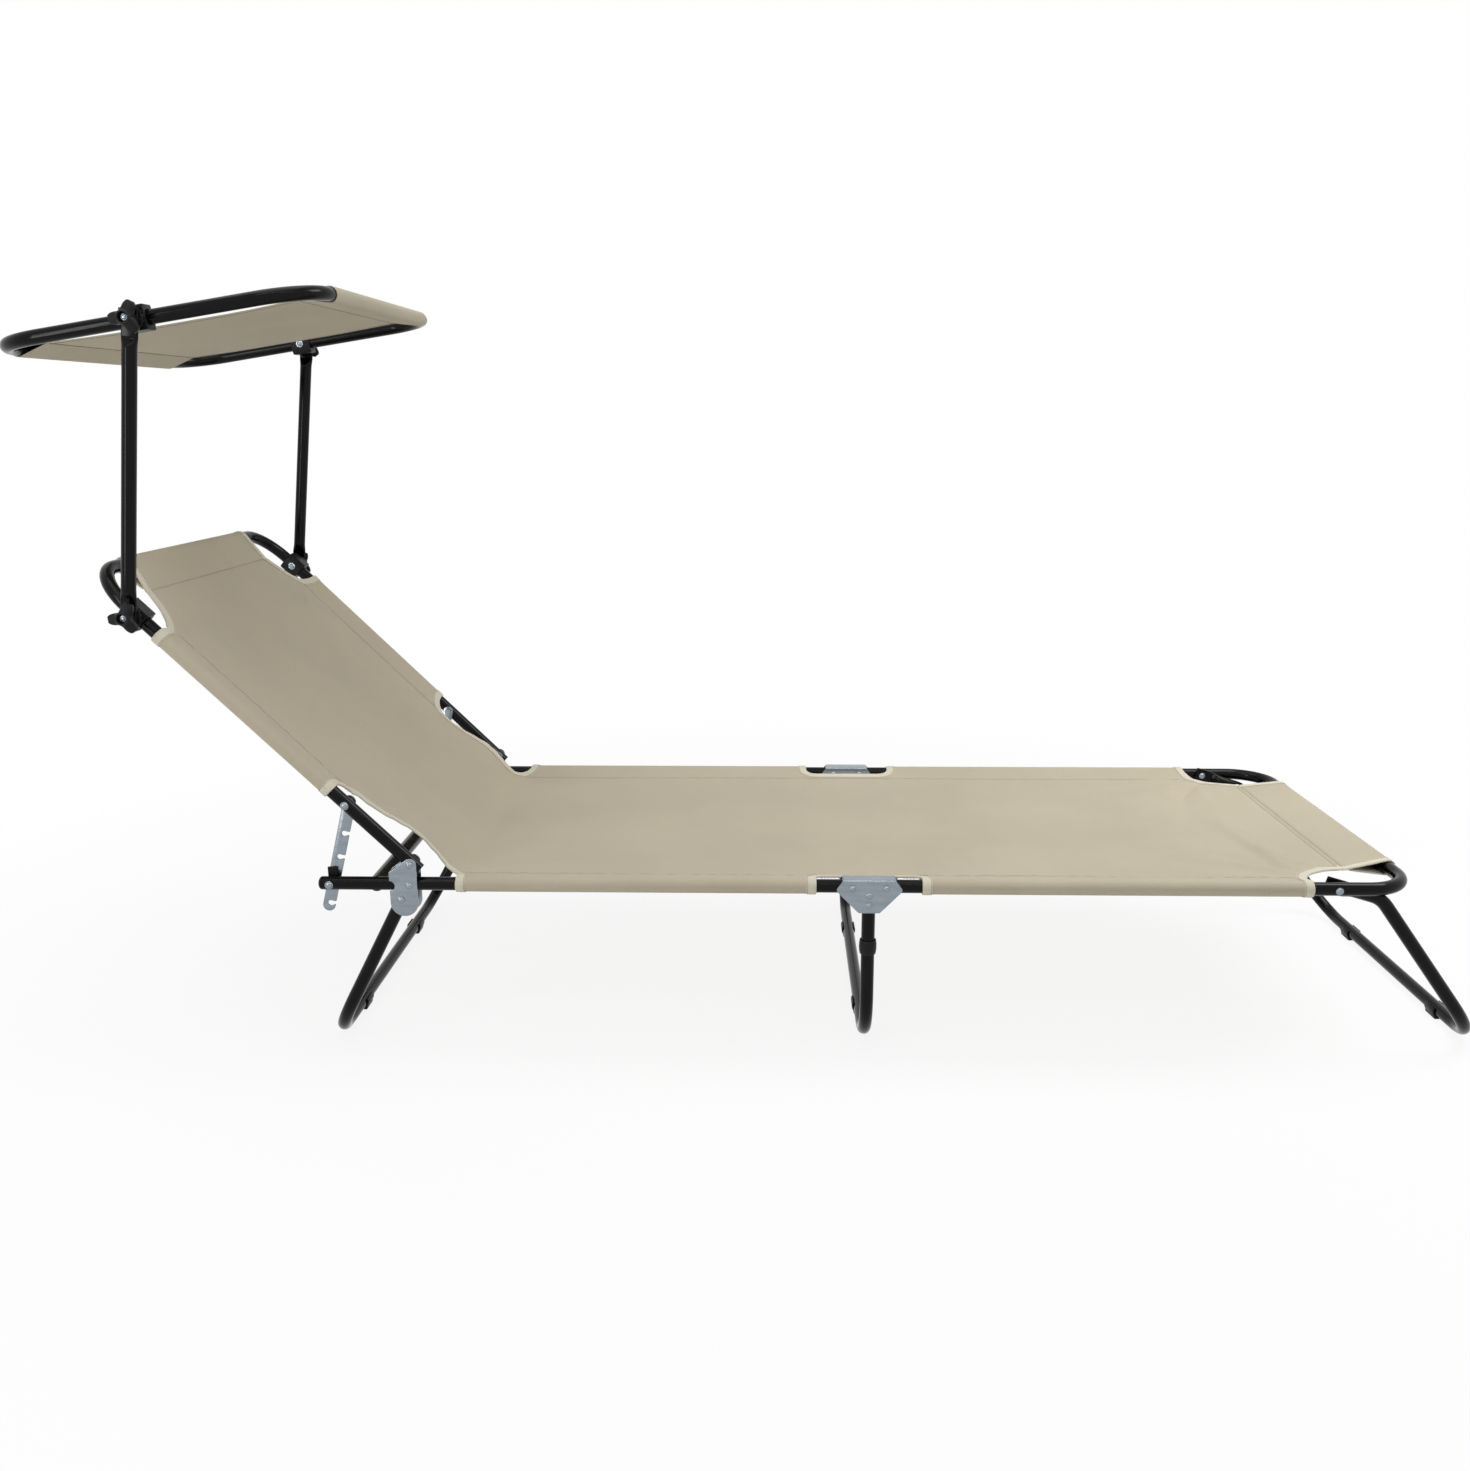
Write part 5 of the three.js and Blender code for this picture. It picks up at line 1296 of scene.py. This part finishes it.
# %%
# The sling's grid
CELL, POCKET_CELL = 5, 3.5      # length of a cell on the seat and round a bar
seam_steps = np.array([0, 1.2, 2.4, 3.6, 5.2, 6.8, 8.2, 9.6, 11, 13])
head_rows = np.linspace(HEAD_END, 0, round(HEAD_POCKET / POCKET_CELL) + 1)[:-1]
calm_rows = np.linspace(13, LENGTH - 13, round((LENGTH - 26) / CELL) + 1)[1:-1]
foot_rows = np.linspace(LENGTH, FOOT_END, round(FOOT_POCKET / POCKET_CELL) + 1)[1:]
rows_s = np.concatenate([head_rows, seam_steps, calm_rows, (LENGTH - seam_steps)[::-1], foot_rows])
flat_u = np.concatenate([np.linspace(0, SEAM - 8, 46), SEAM - np.array([5, 3.4, 2.4, 1.4, 0])])
half_u = np.concatenate([flat_u, np.linspace(SEAM, SEAM + REACH, 26)[1:]])
columns_u = np.concatenate([-half_u[:0:-1], half_u])
S, U = np.meshgrid(rows_s, columns_u, indexing="ij")
plain_grid = to_frame(sling(S, U))      # before its edges are drawn to the openings
gone = is_cut(S, np.abs(U)).astype(int)
beyond = (S > LENGTH) | (S < 0)
cell_gone = (gone[:-1, :-1] + gone[1:, :-1] + gone[:-1, 1:] + gone[1:, 1:]) >= 2
cell_gone |= (beyond[:-1, :-1] & beyond[1:, 1:]) & (np.abs(U[:-1, :-1]) > SEAM)
kept = ~cell_gone
touching = np.zeros(S.shape, int)
for ds in (0, 1):
    for du in (0, 1):
        touching[ds:S.shape[0] - 1 + ds, du:S.shape[1] - 1 + du] += kept
for i, j in zip(*np.nonzero((touching > 0) & (touching < 4))):
    found = [nearest(outline, S[i, j], abs(U[i, j])) for outline in CUTS]
    spot, away = min(found, key=lambda spot_and_distance: spot_and_distance[1])
    if away < 9:
        S[i, j] = min(max(spot[0], HEAD_END), FOOT_END)
        U[i, j] = math.copysign(spot[1], U[i, j])
print("sling cells:", int(kept.sum()), "of", kept.size)

# %% [markdown]
# ## The sling's sheets
# The map lifts the grid into place, and an offset copy beneath it closes each sheet into a thin shell. A
# Solidify modifier would do nearly the same, but less evenly at the seams. The cloth is split where the
# frame folds, and for each sheet the two bodies that it joins and the ends of a blend between them are
# listed.

# %%
# The sling's sheets
CLOTH = 1.0 * MM        # thickness


def grid_normals(places):
    """Normals of a grid of places, pointing up or outwards."""
    n = np.cross(np.gradient(places, axis=0), np.gradient(places, axis=1))
    return n / np.maximum(np.linalg.norm(n, axis=-1, keepdims=True), 1e-9)


def grid_sheet(name, places, uv, kept, row_from, row_to, normals):
    """The kept cells between two rows as a closed shell, and the area of its upper side."""
    used, points, texture, faces, rims = {}, [], [], [], {}

    def corner(i, j, under):
        key = (i, j, under)
        if key not in used:
            used[key] = len(points)
            points.append(places[i, j] - normals[i, j] * (CLOTH if under else 0))
            texture.append(uv[i, j])
        return used[key]

    area = 0.0
    for i in range(row_from, row_to):
        for j in np.flatnonzero(kept[i]):
            ring = [(i, j), (i, j + 1), (i + 1, j + 1), (i + 1, j)]
            a, b, c, d = (places[p] for p in ring)
            area += 0.5 * np.linalg.norm(np.cross(c - a, d - b))
            faces.append(tuple(corner(*p, 0) for p in ring))
            faces.append(tuple(corner(*p, 1) for p in reversed(ring)))
            rims.update(dict.fromkeys(zip(ring, ring[1:] + ring[:1])))
    for p, q in rims:
        if (q, p) not in rims:
            faces.append((corner(*q, 0), corner(*p, 0), corner(*p, 1), corner(*q, 1)))
    return mesh_object(name, points, faces, cloth, texture, angle=70), area


places, normals = to_frame(sling(S, U)), grid_normals(plain_grid)
uv = np.stack([U * MM, S * MM], axis=-1)
# the sheets part 250 mm ahead of the hinge and over the middle stand
fold_a, fold_b = (int(np.argmin(np.abs(rows_s - s_of_seat(x)))) for x in (250, MID))
# name, first and last row, the two bodies, where the blend between them starts and ends, plain node
SPANS = (("sling_back", 0, fold_a, "backrest", "rear_half",
          place(-80, 0, 354), place(60, 0, 248), "cover_back"),
         ("sling_seat", fold_a, fold_b, "rear_half", "mid_stand",
          place(MID - 71, 0, SEAT), place(MID - 2, 0, SEAT), "cover_seat_rear"),
         ("sling_foot", fold_b, len(rows_s) - 1, "mid_stand", "front_half",
          place(MID + 2, 0, SEAT), place(MID + 71, 0, SEAT), "cover_seat_front"))
BLENDS = {name: (body_a, body_b, start[:], end[:]) for name, _, _, body_a, body_b, start, end, _ in SPANS}
for name, low, high, *_, node in SPANS:
    piece, area = grid_sheet(name, places, uv, kept, low, high, normals)
    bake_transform(piece)
    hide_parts(node)

# %% [markdown]
# ## Canopy cloth
# One sheet runs from a pocket on the rear bar to a pocket on the front bar. Its side edges are free, so
# they draw in a little between the bars and the middle hangs a few millimetres. It is made with a map like
# the sling's, because both are cloth held by pockets, and it rides the canopy whole since nothing in it
# folds.

# %%
# Canopy cloth
OVER = 212.0            # half its width
POCKET_SEAM = 40        # from a bar to its pocket's seam
pocket_line, pocket_length = wrap(POCKET_SEAM)
POCKET = pocket_length[-1]
SPAN = FRONT_BAR - REAR_BAR - 2 * POCKET_SEAM


def canopy_place(s, u, lift=0.0):
    """Places for s from the rear seam to the front seam, and u as a share of the half width."""
    s, u = np.broadcast_arrays(np.asarray(s, float), np.asarray(u, float))
    free = np.sin(math.pi * np.clip(s / SPAN, 0, 1))        # 0 at the seams, 1 halfway
    y = u * (OVER - 5.0 * free ** 0.8)
    x = REAR_BAR + POCKET_SEAM + np.clip(s, 0, SPAN)
    wave = 0.8 * np.sin(y / 41 + 1.2) * np.sin(s / 88 + 0.7) + 0.5 * np.sin(s / 36 + y / 59)
    z = LIFT - free * (5.5 * (1 - 0.45 * u * u)) + wave * free + lift
    for beyond, sign, bar in ((-s, -1, REAR_BAR), (s - SPAN, 1, FRONT_BAR)):
        out, up = (np.interp(beyond, pocket_length, pocket_line[:, axis]) for axis in (0, 1))
        x, y = np.where(beyond > 0, bar + sign * out, x), np.where(beyond > 0, u * OVER, y)
        z = np.where(beyond > 0, up + lift, z)
    return on_canopy(x, y, z)


CS, CU = np.meshgrid(np.linspace(-POCKET, SPAN + POCKET, 130), np.linspace(-1, 1, 71), indexing="ij")
canopy_points = canopy_place(CS, CU)
canopy_sheet, area = grid_sheet("canopy_sheet", canopy_points, np.stack([CU * OVER * MM, CS * MM], axis=-1),
                                np.ones((129, 70), bool), 0, 129, grid_normals(canopy_points))
dressed(canopy_sheet, "canopy", "cloth", "canopy_cover")

# %% [markdown]
# ## Binding tape
# A cut edge of woven cloth would fray, so a paler tape is folded over it and sewn down. A bevelled curve
# would float off the cloth wherever that bends. Here the tape's small section is carried along the same
# outline that cut the opening, and each of its points is placed by the sling's own map, so both its faces
# lie on the cloth everywhere.

# %%
# Binding tape
TAPE_SECTION = ((12, 0.15), (11.8, 0.75), (10.6, 0.5), (9.4, 0.9), (5.0, 1.1), (1.2, 1.0), (-0.5, 0.8),
                (-1.2, -0.5), (-0.5, -1.8), (1.2, -2.0), (5.0, -1.9), (11.8, -1.7), (12, -1.1), (1.0, -1.05),
                (1.0, 0.05))


def surface_normal(s, u, step=0.8):
    """The sling's own normal, from neighbouring places on it."""
    n = np.cross(sling(s + step, u) - sling(s - step, u), sling(s, u + step) - sling(s, u - step))
    return n / np.maximum(np.linalg.norm(n, axis=-1, keepdims=True), 1e-9)


def resample(line, spacing):
    """A line's points at even spacing."""
    line = np.asarray(line, float)
    length = np.concatenate([[0], np.cumsum(np.hypot(*np.diff(line, axis=0).T))])
    at = np.linspace(0, length[-1], max(2, int(length[-1] / spacing) + 1))
    return np.stack([np.interp(at, length, line[:, axis]) for axis in (0, 1)], axis=-1)


def between(outline, low, high):
    """The part of an outline with s in a range, short of the sleeve's own edge."""
    line = resample(outline, 1.0)
    return line[(line[:, 0] >= low) & (line[:, 0] <= high) & (line[:, 1] <= SEAM + REACH - 6)]


def inwards(line, flip):
    """Unit steps from an outline on to the cloth; flip says which side of it the cloth lies."""
    tangent = np.gradient(line, axis=0)
    tangent /= np.linalg.norm(tangent, axis=1, keepdims=True)
    return np.stack([tangent[:, 1], -tangent[:, 0]], axis=-1) * flip


def tape_along(name, outline, side, flip):
    """A ribbon folded over the edge along an outline: its section is (mm on to the cloth, mm above it)."""
    line = resample(outline, 3.5)
    step = inwards(line, flip)
    run = np.concatenate([[0], np.cumsum(np.linalg.norm(np.diff(line, axis=0), axis=1))])
    on_bar = (line[:, 0] < 0) | (line[:, 0] > LENGTH)
    rings, texture = [], []
    for m, lift in TAPE_SECTION:
        s, u = line[:, 0] + step[:, 0] * m, side * (line[:, 1] + step[:, 1] * m)
        rise = np.where(on_bar, max(lift, -1.5), lift)[:, None]
        rings.append(to_frame(sling(s, u) + surface_normal(s, u) * rise))
        texture.append(np.stack([run, np.full(len(line), m if lift > -0.6 else -m)], axis=-1) * MM)
    n = len(TAPE_SECTION)
    last = (len(line) - 1) * n
    faces = joined(line, n, closed=False) + [tuple(range(n)), tuple(range(last, last + n))]
    return outward(mesh_object(name, np.stack(rings, axis=1).reshape(-1, 3), faces, tape,
                               np.stack(texture, axis=1).reshape(-1, 2), angle=50))


print("tape section of", len(TAPE_SECTION), "points, reaching", TAPE_SECTION[0][0], "mm on to the cloth")

# %% [markdown]
# ## Tape on the openings
# Each opening's edge lies on one or two of the sling's sheets, so each tape belongs to one sheet, and the
# tapes of a sheet are merged into one piece. One piece of tape for the whole sling would tear where the
# sheets part. The table of edges is kept, because the thread follows it too.

# %%
# Tape on the openings
END = 9999      # past the end of the cloth
# sheet, edge, outline, the range of s that is taped, and the side of the outline where the cloth lies
EDGES = (("sling_back", "head", head_cut, HEAD_END + 5, 70, 1), ("sling_back", "hinge", hinge_cut, 0, END, 1),
         ("sling_seat", "mid_a", middle_cut, 0, s_of_seat(MID), 1),
         ("sling_foot", "mid_b", middle_cut, s_of_seat(MID), END, 1),
         ("sling_foot", "foot", foot_cut, 0, FOOT_END - 5, -1))
for sheet in BLENDS:
    strips = [tape_along(f"{edge}_{word}", between(outline, low, high), side, flip) for word, side in SIDES
              for name, edge, outline, low, high, flip in EDGES if name == sheet]
    count = len(strips)
    piece = merged(sheet.replace("sling", "edge_tape"), strips, 50)
    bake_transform(piece)
    print(piece.name, "of", count, "tapes,", len(piece.data.polygons), "faces")

# %% [markdown]
# ## Stitch generator
# Thread shows as hundreds of short stitches in even rows. Placing them by hand is hopeless, and as bump
# alone they would vanish from the side. A Geometry Nodes tree lays one small low-count stitch at every step
# of a guide line, turned along the line and upright on the cloth. Its inputs set the step, length and
# thickness, and it ends in real geometry with a material, so that each result is a plain mesh.

# %%
# Stitch generator
def stitch_tree():
    """Thread stitches along every edge of a mesh whose points carry their way up as the attribute up."""
    tree = bpy.data.node_groups.new("stitches", "GeometryNodeTree")
    for name, kind in (("Geometry", "Geometry"), ("Spacing", "Float"), ("Length", "Float"),
                       ("Thickness", "Float"), ("Material", "Material")):
        tree.interface.new_socket(name, in_out="INPUT", socket_type=f"NodeSocket{kind}")
    tree.interface.new_socket("Geometry", in_out="OUTPUT", socket_type="NodeSocketGeometry")
    given = add(tree, "NodeGroupInput").outputs
    curve = add(tree, "GeometryNodeMeshToCurve", {"Mesh": given["Geometry"]}).outputs["Curve"]
    spots = add(tree, "GeometryNodeCurveToPoints", {"Curve": curve, "Length": given["Spacing"]},
                mode="LENGTH").outputs
    up = add(tree, "GeometryNodeInputNamedAttribute", {"Name": "up"}, data_type="FLOAT_VECTOR")
    along = add(tree, "FunctionNodeAlignRotationToVector", {"Vector": spots["Tangent"]}, axis="X")
    turns = {"Rotation": along.outputs["Rotation"], "Vector": up.outputs["Attribute"]}
    upright = add(tree, "FunctionNodeAlignRotationToVector", turns, axis="Z", pivot_axis="X")
    ball = add(tree, "GeometryNodeMeshUVSphere", {"Segments": 6, "Rings": 5, "Radius": 0.5})
    extent = {"X": given["Length"], "Y": given["Thickness"], "Z": given["Thickness"]}
    size = add(tree, "ShaderNodeCombineXYZ", extent).outputs["Vector"]
    stitch = add(tree, "GeometryNodeTransform", {"Geometry": ball.outputs["Mesh"], "Scale": size})
    laid = add(tree, "GeometryNodeInstanceOnPoints",
               {"Points": spots["Points"], "Instance": stitch.outputs["Geometry"],
                "Rotation": upright.outputs["Rotation"]})
    real = add(tree, "GeometryNodeRealizeInstances", {"Geometry": laid.outputs["Instances"]})
    sewn = add(tree, "GeometryNodeSetMaterial",
               {"Geometry": real.outputs["Geometry"], "Material": given["Material"]})
    add(tree, "NodeGroupOutput", {"Geometry": sewn.outputs["Geometry"]})
    return tree


STITCHES = stitch_tree()


def stitched(name, lines, spacing=4.4, length=3.6, thickness=0.8):
    """Stitches in mm along lines of (places, normals) in the frame, as one plain mesh."""
    points, ups, edges = [], [], []
    for line, normal in lines:
        edges += [(len(points) + i, len(points) + i + 1) for i in range(len(line) - 1)]
        points += [tuple(p) for p in line]
        ups += [tuple(n) for n in normal]
    mesh = bpy.data.meshes.new(f"{name}_lines")
    mesh.from_pydata(points, edges, [])
    upwards = mesh.attributes.new("up", "FLOAT_VECTOR", "POINT")
    upwards.data.foreach_set("vector", np.array(ups, float).ravel())
    guide = in_scene(f"{name}_lines", mesh)
    modifier = guide.modifiers.new("stitches", "NODES")
    modifier.node_group = STITCHES
    values = {"Spacing": spacing * MM, "Length": length * MM, "Thickness": thickness * MM, "Material": thread}
    for item in STITCHES.interface.items_tree:
        if item.in_out == "INPUT" and item.name in values:
            modifier[item.identifier] = values[item.name]
    bpy.context.view_layer.update()
    plain = bpy.data.meshes.new_from_object(guide.evaluated_get(bpy.context.evaluated_depsgraph_get()))
    bpy.data.objects.remove(guide, do_unlink=True)
    plain.name = name
    plain.shade_smooth()
    return in_scene(name, plain)


print("stitch generator has", len(STITCHES.nodes), "nodes")

# %% [markdown]
# ## Thread on the sling
# The side sleeves and the head pocket are closed with one row, the foot pocket with two, and every tape has
# its own. Each row is drawn on the flat cloth and carried into place by the sling's map, on top of the
# cloth and beneath it. Rows are cut wherever they would cross an opening, as no thread hangs in the air.

# %%
# Thread on the sling
ON_TOP, BENEATH, ON_TAPE = 0.15, -2.6, 0.62     # mm off the cloth's upper face
TAPE_ROW = 10.6                                 # the tape's row, in from the edge


def on_cloth(s, u, lift):
    """A stitch line on the sling, on top of the cloth or under it."""
    n = surface_normal(s, u)
    return to_frame(sling(s, u) + n * lift), n * math.copysign(1, lift)


def seam_runs(s, u):
    """The stretches of a seam that run on cloth."""
    here = ~is_cut(s, np.abs(u) + 4)
    parts = np.split(np.arange(len(s)), np.flatnonzero(np.diff(here.astype(int))) + 1)
    return [(s[part], u[part]) for part in parts if here[part[0]] and len(part) > 3]


rows = {name: [] for name in BLENDS}
for name, low, high, *_ in SPANS:
    seam = np.arange(max(rows_s[low], 62), min(rows_s[high], s_of_seat(1186)), 3.0)
    for side in (-1, 1):
        for s, u in seam_runs(seam, np.full(len(seam), side * (SEAM - SIDE_ROW))):
            rows[name] += [on_cloth(s, u, ON_TOP), on_cloth(s, u, BENEATH)]
across = np.arange(-202, 203, 3.0)
for name, at in (("sling_back", HEAD_ROW), *(("sling_foot", LENGTH - row) for row in FOOT_ROWS)):
    rows[name] += [on_cloth(np.full(len(across), at), across, lift) for lift in (ON_TOP, BENEATH)]
for name, edge, outline, low, high, flip in EDGES:
    low, high = {"head": (low + 1, 68), "foot": (low, high - 1)}.get(edge, (low, high))
    line = resample(between(outline, low, high), 3.0)
    line = line + inwards(line, flip) * TAPE_ROW
    rows[name] += [on_cloth(line[:, 0], side * line[:, 1], ON_TAPE) for side in (-1, 1)]
for name, lines in rows.items():
    piece = stitched(name.replace("sling", "stitches"), lines)
    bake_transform(piece)
    print(piece.name, "in", len(lines), "rows,", len(piece.data.polygons), "faces")

# %% [markdown]
# ## Thread on the canopy
# The canopy's cloth has a row of thread beside each pocket and along each free edge. The rows could be
# copied from the sling, but this cloth's shape is another one. So the same generator lays them on lines
# that the canopy's own map gives, and they ride on the canopy, since nothing in it bends.

# %%
# Thread on the canopy
def on_sheet(s, u, lift):
    """A stitch line on the canopy sheet."""
    along = canopy_place(s + 1, u) - canopy_place(s - 1, u)
    n = np.cross(along, canopy_place(s, u + 0.01) - canopy_place(s, u - 0.01))
    n /= np.linalg.norm(n, axis=-1, keepdims=True)
    return canopy_place(s, u) + n * lift * MM, n * math.copysign(1, lift)


BELOW_SHEET, EDGE_ROW = -1.15, 0.958        # mm off the cloth, and a share of the half width
across, lengthwise = np.linspace(-0.985, 0.985, 90), np.linspace(2, SPAN - 2, 110)
guides = [(np.full(90, at), across) for at in (3.0, SPAN - 3.0)]
guides += [(lengthwise, np.full(110, side * EDGE_ROW)) for side in (-1, 1)]
lines = [on_sheet(s, u, lift) for s, u in guides for lift in (ON_TOP, BELOW_SHEET)]
canopy_thread = dressed(stitched("canopy_stitches", lines), "canopy", "cloth")
print("canopy stitches:", len(canopy_thread.data.polygons), "faces")

# %% [markdown]
# ## Shims kept from the plain model
# A thin plastic shim sits behind each strip and hardly shows. It could be made anew, but it is a flat plate
# already. So it keeps its own mesh and only gets the plastic finish, and a Bevel modifier that catches a
# little light on its rim.

# %%
# Shims
for word, _ in SIDES:
    shim = frame["nodes"][f"strip_guide_{word}"]
    shim.data.materials.clear()
    shim.data.materials.append(plastic)
    soft_edge = shim.modifiers.new("edge", "BEVEL")
    soft_edge.width = 0.3 * MM
    soft_edge.segments = 2
    print(shim.name, "kept, with", len(shim.data.polygons), "faces")

# %% [markdown]
# ## Floor and background
# The picture has a pure white ground. More lamps would wash out the cloth, so the white is given only to
# what the camera sees, directly or in a reflection: a Light Path node mixes an even white over the floor,
# which still keeps a faint shadow near the lounger, and over the world.

# %%
# Floor and background
AMBIENT = 0.25      # the world's share of white as a light
FLOOR_HALF = 9      # m


def seen_rays(tree):
    """1 for what the camera sees, also by reflection or through glass, and 0 for light."""
    path = add(tree, "ShaderNodeLightPath").outputs
    seen = path["Is Camera Ray"]
    for other in ("Is Glossy Ray", "Is Transmission Ray"):
        seen = maths(tree, "MAXIMUM", seen, path[other])
    return seen


pale_floor, tree, shader = new_material("pale_floor")
shader.inputs["Base Color"].default_value = (0.93, 0.93, 0.93, 1)
shader.inputs["Roughness"].default_value = 0.95
shader.inputs["Specular IOR Level"].default_value = 0.0
here = add(tree, "ShaderNodeTexCoord").outputs["Object"]
away = add(tree, "ShaderNodeVectorMath", {0: here}, operation="LENGTH").outputs["Value"]
paleness = ramp(tree, away, 0.88, 1.0, 0.7, 1.8)        # whiter from 0.7 m to 1.8 m away
white = add(tree, "ShaderNodeEmission", {"Color": (1, 1, 1, 1), "Strength": 1.0})
share = maths(tree, "MULTIPLY", paleness, seen_rays(tree))
blend = add(tree, "ShaderNodeMixShader", {0: share, 1: shader.outputs["BSDF"], 2: white.outputs["Emission"]})
tree.links.new(blend.outputs["Shader"], tree.nodes["Material Output"].inputs["Surface"])
square = [(x * FLOOR_HALF, y * FLOOR_HALF, 0) for x, y in ((-1, -1), (1, -1), (1, 1), (-1, 1))]
mesh_object("floor", square, [(0, 1, 2, 3)], pale_floor)

world = bpy.data.worlds.new("studio")
bpy.context.scene.world = world
world.use_nodes = True
tree = world.node_tree
tree.nodes.clear()
strength = ramp(tree, seen_rays(tree), AMBIENT, 1.0, 0.0, 1.0)
sky = add(tree, "ShaderNodeBackground", {"Color": (1, 1, 1, 1), "Strength": strength})
add(tree, "ShaderNodeOutputWorld", {"Surface": sky.outputs["Background"]})
print("white where it is seen, and", AMBIENT, "of that as light")

# %% [markdown]
# ## Lamps
# The picture is lit softly from above, with narrow highlights on the tubes. One lamp beside the camera
# would flatten the folds. Four area lamps light the object at a plain level instead: two broad ones above
# the head and the foot, and two long ones at the side that draw the thin highlights.

# %%
# Lamps
def area_light(name, at, target, size, power):
    data = bpy.data.lights.new(name, "AREA")
    data.shape = "RECTANGLE"
    data.size, data.size_y = size
    data.energy = power
    lamp = in_scene(name, data)
    lamp.location = at
    lamp.rotation_euler = (Vector(target) - Vector(at)).to_track_quat("-Z", "Y").to_euler()


# name, place, target, size in m, power in W
LAMPS = (("head_top", (-0.7, -0.2, 2.9), (-0.1, 0, 0.3), (2.4, 1.8), 23),
         ("foot_top", (1.4, 0.1, 1.9), (0.9, 0, 0.25), (0.9, 1.2), 23),
         ("near_strip", (0.0, -2.0, 2.5), (0.0, 0, 0.5), (3.0, 0.06), 9),
         ("head_strip", (-1.6, -1.6, 0.9), (-0.75, -0.2, 0.5), (0.28, 1.2), 9))
for name, at, target, size, power in LAMPS:
    area_light(name, at, target, size, power)
bpy.context.scene.view_settings.view_transform = "Standard"
print("lamps:", len(LAMPS), "with", sum(lamp[-1] for lamp in LAMPS), "W in all")
